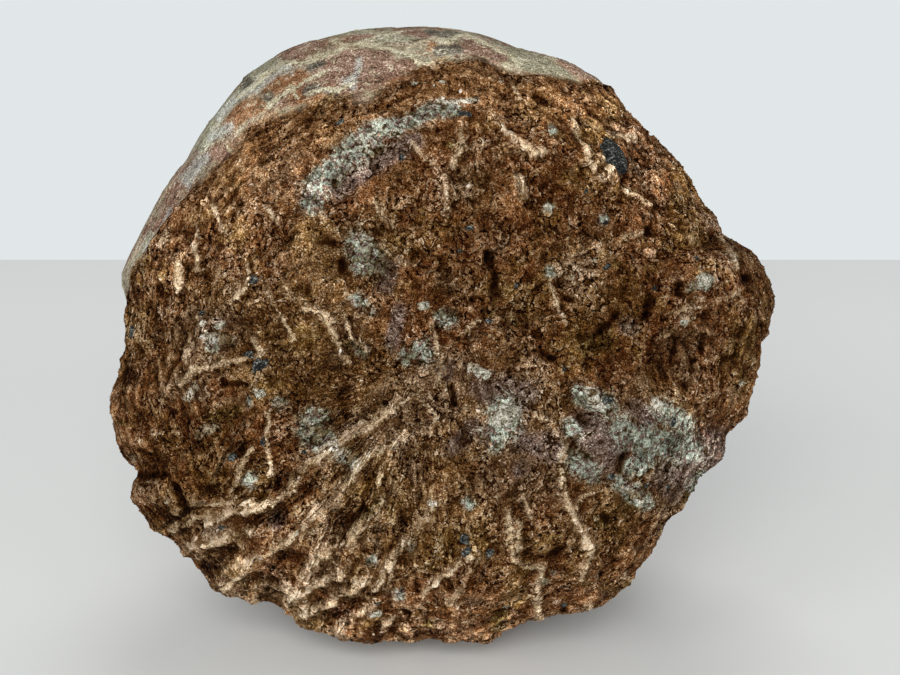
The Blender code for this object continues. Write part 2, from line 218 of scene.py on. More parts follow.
CREAM_VEINS = [  # half width, height, and the points each runs through
    (2.3, 1.6, [(-4.3, -13.7), (-14.8, -21.2), (-20.7, -24.9), (-24.5, -27.2), (-35.7, -34.2)]),
    (1.7, 1.1, [(-8.8, -24.9), (-17.7, -30.9), (-24, -37)]),
    (1.2, 0.7, [(-14, -34.6), (-13.3, -40.6)]),
    (1.4, 1.2, [(-67, -44), (-62, -42.5), (-53.6, -41.9), (-47, -41.2)]),
    (1.5, 1.3, [(-57, -47), (-49, -44), (-46, -42.6), (-39.3, -41), (-35.5, -36.8)]),
    (1.5, 1.3, [(-67, -47.7), (-61.7, -46.2), (-57.2, -44.8)]),
    (1.7, 1.5, [(-64, -53.9), (-58, -52.2), (-52.7, -51), (-46.7, -48.8)]),
    (2.2, 1.9, [(-53.1, -63), (-48, -56.6), (-43, -53.4), (-37, -49.7), (-31, -45.5),
                (-25.8, -40.2)]),
    (1.5, 1.0, [(-46, -66), (-42.3, -63), (-37.4, -62.2)]),
    (3.2, 2.0, [(-36, -66), (-35, -60.6), (-30.1, -55.3), (-24.5, -51.3), (-18.9, -48.2),
                (-14.8, -44.1)]),
    (1.8, 1.2, [(-35.7, -65.5), (-30.1, -61.4), (-24.5, -57.2), (-20.7, -53.8)]),
    (1.8, 1.5, [(-33.5, -71.1), (-28.2, -66.6), (-22.6, -62.1), (-17.7, -59.1)]),
    (2.0, 1.4, [(-24.1, -72.9), (-20.7, -70.3), (-15.1, -66.6)]),
    (1.1, 0.8, [(-15, -74.5), (-11, -71)]),
    (2.0, 1.6, [(-14.8, -60.6), (-12.5, -55.7), (-9.5, -52.4), (-3.6, -44.5), (-0.9, -40)]),
    (1.4, 1.0, [(-0.5, -60.6), (3.2, -57.2), (7.3, -54.2)]),
    (1.1, 0.7, [(-4, -64.5), (-0.5, -60.6)]),
    (1.1, 0.7, [(2, -66), (6, -62), (8, -58)]),
    (1.5, 1.2, [(17, -44.9), (17.8, -50.1), (18.6, -55.6), (21.2, -58.1), (26.3, -58.9)]),
    (1.3, 1.1, [(26, -59.5), (25, -61.9), (24.6, -64.9), (25, -70.8)]),
    (1.0, 0.7, [(19.6, -46.8), (20, -53.9)]),
    (0.9, 0.7, [(21, -41), (22, -44.5)]),
    (1.2, 1.0, [(24.6, -20.3), (29.2, -22.4), (32.2, -27.5), (30.3, -32), (31, -38),
                (31.3, -42)]),
    (1.7, 1.3, [(31.3, -42), (34.5, -47.3), (37, -51), (37.7, -55), (36, -60.6)]),
    (1.0, 0.8, [(34, -43), (35.5, -40.5), (38, -39)]),
    (1.2, 0.8, [(45, -60), (48.5, -61.5)]),
    (1.2, 0.8, [(35, -65.5), (38, -68.5)]),
    (1.3, 1.2, [(13, 55), (16, 52.5), (18, 49.5), (20.5, 47.3), (23.5, 45.5), (26, 46)]),
    (1.3, 1.1, [(7, 54), (6, 51), (5, 47), (4, 44), (3.5, 42)]),
    (1.1, 0.8, [(-7, 47), (-4.5, 44.5), (-2, 42), (-1, 40.5)]),
    (1.3, 1.0, [(1, 39), (1.5, 36), (2, 32), (2, 29.4)]),
    (2.3, 1.7, [(20.5, 38.5), (20.5, 35.5)]), (1.0, 0.8, [(37.5, 47.5), (38.5, 43.5), (42, 39.5)]),
    (0.7, 0.5, [(17.5, 64), (20, 60), (21.5, 57)]),
    (0.9, 0.7, [(34, 55), (34.5, 52), (36, 49.5), (37.5, 47.5)]),
    (0.9, 0.6, [(43, 51.5), (50, 50)]),
    (1.1, 0.6, [(41, 45), (43, 41.5)]),
    (0.9, 0.8, [(49, 38.5), (52, 36.5), (56, 34.5)]),
    (1.0, 0.7, [(-16, 34), (-14, 30.5), (-12, 28)]),
    (0.9, 0.8, [(-63, 23), (-62, 20.5), (-61.5, 17)]),
    (0.9, 0.8, [(-66, 19), (-65.5, 15), (-65.8, 11)]),
    (0.7, 0.6, [(-62, 29), (-62, 25)]),
    (1.2, 0.8, [(-54, 21.5), (-52, 23.5)]),
    (1.0, 0.9, [(-50, 20), (-49, 16), (-50, 12), (-52, 10)]),
    (1.5, 1.1, [(-38.5, 12), (-36, 9.5), (-32, 7), (-29, 3.8), (-27.3, -1.3), (-24.7, -7.2)]),
    (1.0, 0.8, [(-30, 6), (-25, 1.5)]),
    (0.8, 0.7, [(-24.7, 4.6), (-22.2, -0.5), (-19.6, -4.6)]),
    (1.0, 0.9, [(-66.3, -12.3), (-61.2, -8.5), (-55.3, -7.2), (-46.7, -5.5)]),
    (0.9, 0.6, [(-45, 15), (-41, 8), (-37, -1.5)]),
    (0.9, 0.7, [(-49, -1), (-46, -5)]),
    (1.2, 1.0, [(-43.5, -20), (-42.8, -28), (-42.7, -35.2)]),
    (1.0, 0.9, [(-52.5, -38.5), (-50, -33), (-46.5, -29)]),
    (0.9, 0.8, [(-30.5, -42.5), (-28.5, -44), (-27.3, -46.5)]),
    (0.9, 0.7, [(-37.3, -35.8), (-36.8, -38.2)]),
    (1.3, 1.2, [(-14.5, 24), (-11.7, 21.2), (-7.8, 17.5)]),
    (1.0, 0.7, [(-2.4, 2.5), (-0.5, -3.2), (1, -8.8), (-0.5, -12.6)]),
    (0.6, 0.5, [(5.5, 0), (8.5, 2.2), (11.4, 4)]),
    (0.6, 0.5, [(-3, -25), (-1, -20.5), (-4, -17)]),
    (0.7, 0.5, [(31.6, 15.9), (33, 11.2), (34.5, 7), (36, 3.2)]),
    (1.2, 1.0, [(72.4, 24), (73.7, 16.9)]),
    (1.6, 0.9, [(60.6, 0), (66.7, 6.1), (73.8, 9.4)]),
    (0.9, 0.5, [(62, 5), (68, 9.5)]),
    (1.3, 0.6, [(50, 26.5), (54.5, 27.5)]),
    (0.8, 0.5, [(-44, 33), (-41, 28)]),
    (0.8, 0.5, [(-57, 33), (-55, 27)]),
    (0.7, 0.5, [(-71, 22), (-68, 27)]),
]
GREEN_MARKS = [  # half width and points of grey-green stone
    (3.0, [(-33, 33), (-30, 39), (-25, 44), (-18, 48), (-10, 52)]),
    (2.4, [(-10, 52), (-3, 55), (3, 56.5)]),
    (4.2, [(-20.5, 22.5), (-18, 20)]), (2.4, [(-21, 17.5)]), (2.2, [(-21.5, 8.5)]),
    (2.4, [(-21, -4)]), (3.2, [(1.5, 4)]), (3.0, [(-4, -4.5)]), (2.2, [(-8.5, -5.5)]),
    (3.8, [(-32, -22), (-31.5, -26)]), (2.2, [(-28, -27), (-21, -32)]),
    (4.4, [(16, -19), (16, -22)]), (2.2, [(12.5, -25), (14, -27)]),
    (3.0, [(37, -15.5), (42, -18)]), (3.0, [(33.5, -32), (38, -34)]), (2.2, [(34, -24)]),
    (4.2, [(46, -24), (53, -27.5), (62, -28)]), (3.0, [(57, -20), (62, -22)]),
    (2.4, [(45, -37), (48, -39.5), (51, -42)]), (2.5, [(48, -33), (51, -31)]),
    (2.0, [(64, -38), (66, -36)]),
    (2.0, [(-40, -17.5)]), (1.8, [(-50, -17)]), (1.8, [(-48.2, -36)]),
    (2.4, [(67, 13.5)]), (1.8, [(31.5, 17.5)]), (1.3, [(28.5, 33)]), (1.3, [(28.5, 51)]),
    (1.6, [(43.5, 30.8)]), (1.6, [(-9.9, -64)]), (1.4, [(-16.6, -54.2)]),
    (1.4, [(-6.5, -51)]), (1.6, [(7, -41)]), (1.4, [(26, -62)]), (1.8, [(-58, -3)]),
]
MAUVE_MARKS = [  # purple-grey stone
    (5.0, [(22, -27), (28, -29)]), (6.0, [(58, -36), (70, -28)]), (6.5, [(38, -24), (44, -30)]),
    (3.5, [(50, -19), (53, -22)]), (3.0, [(-26, 37), (-16, 43), (-6, 48)]),
    (3.5, [(-13, 18), (-14, 13)]), (3.0, [(-10, 6), (-12, -2)]), (3.0, [(2, -9)]),
    (3.0, [(52, 2)]), (4.0, [(12, -14), (22, -15)]), (3.0, [(20, -34)]),
    (3.0, [(-40, -45)]), (2.4, [(-56, -48)]), (2.0, [(-56.5, 2.5)]),
    (3.0, [(8, -24), (4, -28)]),
]
WHITE_MARKS = [  # chalky white bits
    (1.5, [(8.5, -8.8), (12.5, -10.6)]), (0.8, [(-33, 38), (-31, 35)]),
    (0.9, [(0, 58), (9, 59)]), (1.1, [(-20.5, 17.5)]), (1.1, [(-1.7, -40.4)]),
    (1.3, [(-27, -27.5), (-20.6, -32)]), (1.0, [(-34, -22.5), (-31, -25)]),
    (1.3, [(-16.3, -69.5)]), (1.3, [(-46, -15)]), (1.1, [(-47.5, -37.9)]),
    (1.3, [(-60, -1), (-54, -2)]), (1.2, [(-63, -13), (-65.5, -16.5)]),
    (1.2, [(-62, -25.3), (-59, -24.6)]), (1.0, [(-61, 2.5)]), (0.9, [(-13.5, -3.5)]),
    (1.2, [(-17.7, 5.9)]), (0.9, [(-36, -66)]), (0.8, [(0.8, 62.7)]), (0.8, [(-7, 63)]),
    (0.7, [(15.2, 63)]), (0.7, [(43, 21.5)]), (0.8, [(37.5, 17.3)]),
    (1.2, [(55.5, -17), (55.5, -19.5)]), (0.8, [(73.5, 18)]), (0.8, [(77, -12.5)]),
    (0.7, [(64.5, 3.3)]), (1.0, [(47, -38.7), (50.5, -41.5)]), (0.7, [(-67, -41)]),
    (0.8, [(-33.8, -47.7)]), (0.9, [(17, -69.5)]), (0.8, [(29, -60.5)]),
    (0.8, [(-2, 61)]), (0.7, [(-77.5, -34.5)]), (0.8, [(-76.8, -31.3)]),
    (1.4, [(39, -14.5), (41, -18)]), (0.8, [(-43.8, -54.5)]), (0.7, [(10, 13)]),
]
OCHRE_MARKS = [  # olive and orange stains
    (1.6, [(3, 47)]), (2.4, [(-60, -22), (-54, -20)]), (1.6, [(48.5, 19.5)]),
    (3.5, [(42, -3), (46, -2)]), (1.8, [(16.7, -71), (14, -74)]), (1.5, [(79.5, -12.5)]),
    (1.4, [(-20, -47.5), (-14, -40)]), (2.0, [(-64, -44)]), (1.6, [(21.5, 3.5)]),
    (2.4, [(15.5, 7)]), (1.8, [(62, -40.5)]), (1.3, [(-79, -21.5)]), (1.6, [(-3, -73)]),
    (2.0, [(41, -47)]), (1.2, [(44, -37.5)]), (1.8, [(-24, -2.5)]), (2.0, [(48, -43)]),
]
HOLES = [  # half width, depth and points of cracks, pits and channels
    (1.6, 2.4, [(14, 21.8), (15.2, 17.5), (16.8, 12)]), (1.8, 2.6, [(14, 21.5)]),
    (1.1, 1.6, [(-29.5, 23.3), (-27, 23.5)]), (1.2, 1.5, [(-25.5, 19.5), (-25.3, 16.5)]),
    (1.1, 1.8, [(36, 10.8), (38.5, 10.3)]), (0.9, 1.2, [(35.3, 8)]),
    (1.1, 1.8, [(29.2, -4.5), (31, -5.5)]), (1.5, 2.2, [(76.6, 14.5)]),
    (1.2, 1.3, [(77, 10.5)]), (1.3, 2.6, [(42.3, -46.5)]), (1.0, 1.6, [(34.5, -38.5)]),
    (1.1, 2.0, [(13, -70.5), (15.5, -71.5)]), (1.1, 2.0, [(48.8, -58)]),
    (1.7, 1.6, [(29, -56.5), (31, -54)]), (1.2, 1.6, [(31.3, -70)]),
    (1.1, 2.6, [(-64.8, -38), (-63.6, -43.5)]), (0.8, 2.0, [(-77, -35.2), (-67, -35.2)]),
    (0.9, 2.4, [(3.2, -12.8), (3.5, -17.4)]), (0.8, 1.6, [(45.5, 0.5), (50, 6.5)]),
    (1.3, 1.5, [(55.5, 5), (57.5, 9.5)]), (0.9, 1.8, [(63, 13.8), (63.5, 11)]),
    (0.8, 1.8, [(63, -0.5), (62.4, -4)]), (0.8, 1.2, [(68.5, -1.5), (68, -4.5)]),
    (1.3, 1.4, [(73.5, -7)]), (1.0, 1.2, [(66.5, -6.5)]), (1.0, 1.4, [(63.2, -13)]),
    (0.9, 2.2, [(-32.5, 11)]), (0.55, 2.4, [(-70.8, 13.8), (-71, 10.4)]),
    (0.9, 1.6, [(-1.5, 66)]), (0.9, 1.6, [(-0.7, 1.6)]), (1.0, 1.6, [(9.5, 9.6)]),
    (0.8, 1.5, [(-4.8, -7)]), (0.8, 1.2, [(-11, -7.5)]), (1.0, 1.5, [(40.5, -27)]),
    (1.1, 1.5, [(37.5, -31)]), (1.0, 1.3, [(47, -30), (45, -34)]), (0.9, 1.4, [(51.7, -34)]),
    (0.8, 1.2, [(36, -21.5)]), (0.8, 1.2, [(48.8, -21.5)]), (1.2, 1.6, [(58.5, -46)]),
    (0.9, 1.2, [(-0.5, -62.5)]), (1.0, 1.0, [(28, 13.5)]), (0.8, 1.4, [(-41, -37.5)]),
    (1.1, 1.4, [(-21, -45.5), (-17.5, -42)]), (0.7, 1.2, [(-7, -69), (-8.5, -68)]),
    (1.3, 1.4, [(12.6, -53)]), (0.8, 1.2, [(-75.5, -29.3), (-72.5, -30)]),
    (0.7, 1.4, [(40.5, 46.5), (43, 44.3), (40.2, 41)]), (0.7, 1.2, [(48.5, 45), (48, 40.5)]),
    (0.6, 1.0, [(39, 28.7), (40.5, 27.2)]), (0.7, 1.0, [(55.5, 29.5), (56, 27)]),
    (0.8, 1.0, [(24, 60), (27, 58.5)]), (0.8, 1.2, [(-35, 26), (-38, 24)]),
    (0.9, 1.3, [(-56, -12.5), (-50, -13)]), (0.8, 1.2, [(-69, -11), (-66, -5)]),
]
SHELL_MARKS = {  # colours of the smooth shell: half width and points of each patch
    "shell_sage": [
        (2.0, [(-60.4, 49.2), (-54.8, 56.9), (-48.5, 63.8), (-42.1, 68.6)]),
        (1.3, [(-15.3, 75), (-6.4, 75.7)]), (2.8, [(15.3, 72.9), (20.4, 70.4), (25.5, 68.6)]),
        (2.3, [(25.5, 68.6), (30.6, 66.6), (36.2, 63.5)]), (1.5, [(-6.4, 70.6), (-3.8, 69.1)]),
        (1.5, [(0.5, 69.4), (5.1, 68.6)]), (1.3, [(-16.6, 72.9), (-11.5, 71.4), (-5.1, 69.9)]),
        (0.8, [(-28.1, 76.2), (-17.3, 77.8)]), (1.5, [(-76.5, 18.6), (-74, 25.5)]),
    ],
    "shell_maroon": [
        (1.8, [(-38.2, 71.1), (-33.1, 72.9), (-29.3, 74.2)]),
        (3.3, [(-29.1, 65.5), (-22.9, 69.1), (-14, 69.6)]),
        (3.3, [(-24.2, 64), (-14, 66), (-7.1, 67.6)]), (2.3, [(7.7, 73.2), (15.3, 70.6)]),
        (1.8, [(32.1, 70.1), (38.2, 65.5), (43.9, 60.9)]), (1.0, [(16.6, 75.2), (27.5, 72.2)]),
        (0.8, [(-22.9, 75.2), (-17.3, 76.2)]), (1.5, [(-10.2, 77.8), (-3.1, 76.8)]),
        (1.8, [(-70.1, 33.1), (-66.3, 40), (-61.2, 44.6)]),
    ],
    "shell_rust": [
        (2.3, [(-42.8, 62.5), (-35.7, 65.5)]), (2.3, [(-53, 54.3), (-45.4, 58.4)]),
        (2.3, [(-35.7, 60.4), (-30.1, 58.9)]), (1.5, [(-1.8, 73.2)]),
        (1.8, [(-11.5, 63.5), (-5.1, 65)]), (1.5, [(-74, 21.7), (-70.9, 28.8)]),
    ],
    "shell_veil": [
        (1.5, [(-55.6, 55.3), (-51, 60.2), (-46.7, 63.2), (-41.6, 66.3), (-38.2, 68.1)]),
        (1.8, [(-22.4, 64.5)]), (0.8, [(-20.1, 70.1), (-21.9, 62.5)]),
        (1.3, [(-57.4, 51), (-53, 52.8)]), (1.5, [(-75, 21.7), (-69.9, 31.4)]),
        (1.8, [(-64.8, 39.5), (-59.7, 45.1)]),
    ],
    "shell_murk": [
        (1.5, [(-42.8, 60.7)]), (1.8, [(-33.4, 62), (-31.6, 62)]),
        (1.0, [(-28.8, 61.5), (-26, 60.7)]), (1.0, [(-32.6, 68.3), (-29.6, 68.8)]),
        (1.3, [(-2.3, 77.5), (4.1, 76)]), (1.5, [(0, 71.9), (4.6, 73.2)]), (1.3, [(-4.3, 67.6)]),
        (0.8, [(-50.2, 63.5), (-48.5, 65)]),
    ],
    "shell_lime": [
        (1.0, [(-51, 60.2), (-45.4, 65), (-39.5, 68.6), (-33.9, 69.6), (-28.1, 71.4),
               (-24.2, 72.7), (-20.4, 73.7), (-15.3, 76), (-9.7, 77.5)]),
        (1.0, [(-20.4, 73.7), (-16.6, 72.9), (-12.8, 72.2), (-6.4, 70.9), (-4.6, 68.3)]),
        (1.0, [(-42.8, 58.1), (-39.5, 61.2), (-34.4, 64.8), (-29.3, 66.6)]),
        (1.0, [(-33.1, 61.2), (-29.3, 62), (-25.5, 62), (-22.4, 63.5)]),
        (1.0, [(0, 75.2), (3.1, 74.7), (4.6, 76), (6.9, 76.8)]),
        (1.0, [(-4.1, 68.1), (0, 69.1), (5.6, 68.6)]),
        (1.0, [(16.8, 67.1), (19.1, 64), (20.9, 58.9)]), (0.8, [(-38.2, 63.5), (-35.7, 59.9)]),
        (1.0, [(7.7, 76), (14, 72.7), (20.4, 68.6)]),
    ],
}
# Ovals where the colour is painted darker or lighter: partly stains, and partly painted light and
# shade, such as the underside along the bottom, which is painted lighter.
STAINS_AND_PAINTED_LIGHT = [  # right, up, reach right, reach up, and how bright the stone is there
    (-64, -38, 13, 14, 0.35), (36, 57, 13, 9, 1.8), (6, 60, 9, 7, 1.5), (40, 46, 11, 8, 1.55),
    (-44, 42, 16, 13, 1.7), (-12, 40, 9, 6, 1.4), (9, 25, 8, 13, 0.46), (2, 17, 7, 7, 0.55),
    (33, 35, 8, 7, 0.44), (48, 4, 22, 10, 0.66), (57, 38, 11, 12, 1.4), (48, -5, 6, 6, 0.6),
    (-67, 19, 8, 10, 1.5), (67, -26, 9, 8, 1.9), (-36, -10, 7, 6, 0.65), (43, 12, 6, 5, 1.6),
    (-19, 3, 7, 10, 1.35), (0, -72, 45, 7, 1.75), (-81, -18, 6, 6, 0.75), (-28, 9, 6, 8, 1.35),
    (22, -52, 14, 18, 1.15), (3, 2, 6, 6, 1.3), (27, -20, 12, 9, 1.4), (-26, 38, 8, 7, 1.4),
    (-50, 20, 7, 7, 1.45), (75, 13, 9, 9, 0.65), (-22, -17, 8, 5, 0.65), (-43, -33, 5, 5, 1.7),
    (-29, -57, 10, 9, 1.4), (42, -62, 6, 5, 1.6), (26, 3, 7, 10, 0.62), (-24, 67, 15, 7, 0.9),
    (45, -27, 16, 9, 1.15), (64, 36, 7, 6, 1.2), (40, -9, 5, 6, 1.3),
    (67, -9, 9, 6, 0.6), (-5, -48, 6, 6, 0.75), (-15, 28, 8, 5, 0.75), (57, 14, 7, 6, 0.7),
    (-43, -62, 6, 5, 1.4), (-74, -18, 6, 5, 0.6), (6, -28, 8, 6, 0.75),
    (-75, -4, 10, 14, 0.78), (-62, 46, 9, 14, 0.74), (-41, 63, 9, 7, 0.72), (3, 67, 9, 4, 1.3),
]


def smooth_step(value, start, end):
    """0 before start, 1 after end, and an S-shaped rise between them."""
    share = np.clip((value - start) / (end - start), 0.0, 1.0)
    return share * share * (3.0 - 2.0 * share)


def around(bearing, bearings, values):
    """Read a value that is given at some bearings, in a closed ring, at any bearing."""
    order = np.argsort(bearings)
    ring = np.asarray(bearings, float)[order]
    row = np.asarray(values, float)[order]
    ring = np.concatenate([ring[-1:] - math.tau, ring, ring[:1] + math.tau])
    row = np.concatenate([row[-1:], row, row[:1]])
    return np.interp(bearing, ring, row)


def lattice_value(corner, seed):
    """A fixed number from -1 to 1 for each whole-number corner of a lattice."""
    mixed = corner[:, 0] * 374761393 + corner[:, 1] * 668265263
    mixed = (mixed + corner[:, 2] * 1442695041 + seed * 1274126177) & 0xFFFFFFFF
    mixed = ((mixed ^ (mixed >> 13)) * 1274126177) & 0xFFFFFFFF
    return (mixed ^ (mixed >> 16)) / 2.0 ** 31 - 1.0


def noise(points, cell, seed):
    """Smooth noise: lattice values blended between the eight corners of each cell."""
    scaled = points / cell
    low = np.floor(scaled).astype(np.int64)
    share = smooth_step(scaled - low, 0.0, 1.0)
    total = np.zeros(len(points))
    for x in (0, 1):
        for y in (0, 1):
            for z in (0, 1):
                pick = np.abs(1.0 - np.array([x, y, z]) - share)
                total += pick.prod(axis=1) * lattice_value(low + [x, y, z], seed)
    return total


def cells(points, cell, seed):
    """Distances to the nearest and second nearest of scattered seeds, one in each cell of
    a lattice, over the cell's size; a fixed number from 0 to 1 for the nearest seed; and
    the height of a flat facet through it that is tilted its own way."""
    scaled = points / cell
    low = np.floor(scaled).astype(np.int64)
    first = np.full(len(points), 9.0)
    second = np.full(len(points), 9.0)
    owner = np.zeros(len(points))
    facet = np.zeros(len(points))
    for x in (-1, 0, 1):
        for y in (-1, 0, 1):
            for z in (-1, 0, 1):
                corner = low + [x, y, z]
                jitter = [lattice_value(corner, seed + k) for k in (0, 1, 2)]
                jitter = np.stack(jitter, axis=1)
                gap = corner + 0.5 + 0.42 * jitter - scaled
                tilt = (gap * jitter[:, ::-1]).sum(axis=1)
                gap = np.linalg.norm(gap, axis=1)
                closer = gap < first
                second = np.where(closer, first, np.minimum(second, gap))
                owner = np.where(closer, lattice_value(corner, seed + 3), owner)
                facet = np.where(closer, tilt, facet)
                first = np.where(closer, gap, first)
    return first, second, owner * 0.5 + 0.5, facet


def steps_from_line(spots, line):
    """For each stretch of a line through the given points, the step to each spot from the
    nearest place on that stretch."""
    corners = np.asarray(line, float)
    for start, end in zip(corners[:-1], corners[1:]):
        run = end - start
        share = np.clip(((spots - start) @ run) / (run @ run), 0.0, 1.0)
        yield spots - start - share[:, None] * run


def distance_to_line(spots, line):
    """How far each spot is from a line that runs through the given points."""
    nearest = np.linalg.norm(spots - np.asarray(line[0], float), axis=1)
    for step in steps_from_line(spots, line):
        nearest = np.minimum(nearest, np.linalg.norm(step, axis=1))
    return nearest


def bell(value, width, power=2):
    """1 at nought, falling off on both sides: e to minus (value over width) to a power."""
    return np.exp(-(value / width) ** power)


def mound(spots, right, up, reach_right, reach_up):
    """A bell over an oval: e to minus the sum of the squares of both distances, each over
    its reach."""
    off = ((spots[:, 0] - right) / reach_right) ** 2 + ((spots[:, 1] - up) / reach_up) ** 2
    return np.exp(-off)


def egg_radius(angle, bearing):
    """Distance from the centre to the plain form: a flattened front on a round back."""
    rim = np.array(RIM, float) * RIM_SHRINK
    rim_bearing = np.arctan2(rim[:, 1], rim[:, 0]) % math.tau
    rim_radius = around(bearing, rim_bearing, np.hypot(rim[:, 0], rim[:, 1]))
    underside = bell(bearing - 1.5 * math.pi, SEAT_SPREAD)
    shell_radius = SHELL_RADIUS + SEAT_DROP * underside
    fade = smooth_step(angle, math.pi / 2, WRAP_END)
    side_radius = rim_radius + (shell_radius - rim_radius) * fade
    front = angle < math.pi / 2
    power = np.where(front, FACE_POWER, 2.0)
    depth = np.where(front, FACE_DEPTH, BACK_DEPTH)
    across = (np.sin(angle) / side_radius) ** power
    along = (np.abs(np.cos(angle)) / depth) ** power
    return (across + along) ** (-1.0 / power)


GRID_CELLS = 127          # across each of the six sides: just under 200,000 triangles
BACK_SPACING = 0.42       # how much of the grid the back gets, against the face
SPACING_TURNS = (1.75, 2.2)      # the angles off the face between which that sets in
SHEET_MARGIN = 0.01       # left free round each square of the flat sheet
PROBES = 721
PROBE_BEARING = 0.9


def cube_grid(count):
    """A cube's surface as a grid: directions from its middle, the four corners of each
    face, and each corner's place on a sheet of six squares. Sides share their edges."""
    step = np.arange(count + 1)
    first, second = np.meshgrid(step, step, indexing="ij")
    places, faces, sheets = [], [], []
    base = 0
    for axis in range(3):
        for end in (0, count):
            corner = np.empty((count + 1, count + 1, 3), np.int64)
            corner[..., axis] = end
            corner[..., (axis + 1) % 3] = first
            corner[..., (axis + 2) % 3] = second
            index = np.arange((count + 1) ** 2).reshape(count + 1, count + 1)
            ring = [index[:-1, :-1], index[1:, :-1], index[1:, 1:], index[:-1, 1:]]
            if end == 0:
                ring = ring[::-1]
            square = np.stack([k.ravel() for k in ring], axis=1)
            inset = (1.0 - 2.0 * SHEET_MARGIN) * np.stack([first.ravel(), second.ravel()], 1)
            sheet = (SHEET_MARGIN + inset / count + [axis, end // count]) / [3, 2]
            places.append(corner.reshape(-1, 3))
            faces.append(square + base)
            sheets.append(sheet[square])
            base += len(places[-1])
    places = np.concatenate(places)
    key = (places * [1, 1000, 1000000]).sum(axis=1)
    kept, where = np.unique(key, return_index=True)
    welded = np.searchsorted(kept, key)[np.concatenate(faces)]
    toward = np.tan((places[where] / count * 2.0 - 1.0) * math.pi / 4)
    toward /= np.linalg.norm(toward, axis=1)[:, None]
    return toward, welded, np.concatenate(sheets)


def spread_evenly(angle):
    """Turn angles of an even grid so that its lines crowd on the broken face."""
    probe = np.linspace(0.0, math.pi, PROBES)
    radius = egg_radius(probe, np.full(PROBES, PROBE_BEARING))
    run = np.hypot(np.gradient(radius), radius * np.gradient(probe))
    run *= 1.0 - (1.0 - BACK_SPACING) * smooth_step(probe, *SPACING_TURNS)
    reach = np.cumsum(run)
    reach = (reach - reach[0]) / (reach[-1] - reach[0]) * math.pi
    return np.interp(angle, reach, probe)


def as_seen(points):
    """Right and up places of points as the eye in front of the face sees them."""
    return points[:, :2] * (EYE_DISTANCE / (EYE_DISTANCE - points[:, 2]))[:, None]


def nearness(spots, marks):
    """1 on the middle line of the nearest mark, 0 at its edge, down to -1 outside it."""
    best = np.full(len(spots), -1.0)
    for half_width, line in marks:
        best = np.maximum(best, 1.0 - distance_to_line(spots, line) / half_width)
    return best


toward, quads, sheet_places = cube_grid(GRID_CELLS)
angle = spread_evenly(np.arccos(np.clip(toward[:, 2], -1.0, 1.0)))
bearing = np.arctan2(toward[:, 1], toward[:, 0]) % math.tau
toward = np.stack(
    [np.sin(angle) * np.cos(bearing), np.sin(angle) * np.sin(bearing), np.cos(angle)], 1
)
radius = egg_radius(angle, bearing)
plain = toward * radius[:, None]
drift = np.zeros((len(plain), 2))
for cell, reach, seed in DRIFT:
    drift += np.stack([noise(plain, cell, seed + k) for k in (0, 1)], 1) * reach
seen = as_seen(plain) + drift

edge = np.radians(np.array(SHELL_EDGE, float))
past_edge = (around(bearing, edge[:, 0], edge[:, 1]) - angle) * radius
past_edge += sum(reach * noise(plain, cell, seed) for cell, reach, seed in EDGE_WANDER)
rough = smooth_step(past_edge, -EDGE_BLEND, EDGE_BLEND)
lip = LIP_HEIGHT * bell(past_edge - EDGE_BLEND, LIP_WIDTH) * rough
in_front = smooth_step(-angle, *[-math.radians(end) for end in FRONT_FADES])
at_top = bell(bearing - TOP_BEARING, TOP_REACH, 4)

relief = np.zeros(len(angle))
for *oval, height in SWELLS:
    relief += height * mound(seen, *oval) * in_front
for layer, (cell, height) in enumerate(ROUGH_LUMPS):
    relief += height * noise(plain, cell, layer) * rough
for layer, (cell, height) in enumerate(SHELL_LUMPS):
    relief += height * noise(plain, cell, layer + 10) * (1.0 - rough)
macro = toward * (radius + relief + lip)[:, None]


def terraced(value, steps):
    """Turn a smooth rise into level treads with short risers between them."""
    low = np.floor(value * steps)
    return (low + smooth_step(value * steps - low, 0.36, 0.64)) / steps


def ridged(points, cell, seed):
    """Noise folded at its middle, so that it makes narrow crests: from 0 to 1."""
    return 1.0 - np.abs(noise(points, cell, seed)) * 2.0


def layered(points, cell, seed, octaves=3, roughness=0.6):
    """Noise at a cell size and at its halves, each fainter by the roughness."""
    total = np.zeros(len(points))
    reach = 0.0
    for octave in range(octaves):
        strength = roughness ** octave
        total += strength * noise(points, cell / 2 ** octave, seed + octave)
        reach += strength
    return total / reach


# Grain of the rock: it wraps round the egg near the rim, and fans out from the hub below
WRAP_RADIUS = 80.0
WRAP_STRETCH = 2.6
WRAP_SIDE = (2.7, 1.1)           # the bearing where it shows most, and how far round
FAN_SIDE = (243.0, 38.0)         # the same for the fan, in degrees
FAN_HUB = np.array([-4.0, -11.0])
FAN_REACH = 45.0
FAN_STRETCH = 4.0
wrap_place = np.stack([np.cos(bearing) * WRAP_RADIUS / WRAP_STRETCH,
                       np.sin(bearing) * WRAP_RADIUS / WRAP_STRETCH, angle * radius], 1)
spoke = seen - FAN_HUB
spoke_length = np.linalg.norm(spoke, axis=1) + 0.01
fan_place = np.stack([spoke[:, 0] / spoke_length * FAN_REACH,
                      spoke[:, 1] / spoke_length * FAN_REACH,
                      spoke_length / FAN_STRETCH], 1)
wrap_share = smooth_step(angle, math.radians(44), math.radians(66))
wrap_share *= 0.55 + 0.45 * bell(bearing - WRAP_SIDE[0], WRAP_SIDE[1])
fan_share = smooth_step(spoke_length, 8.0, 22.0) * in_front
fan_share *= bell(np.degrees(bearing) - FAN_SIDE[0], FAN_SIDE[1], 4)

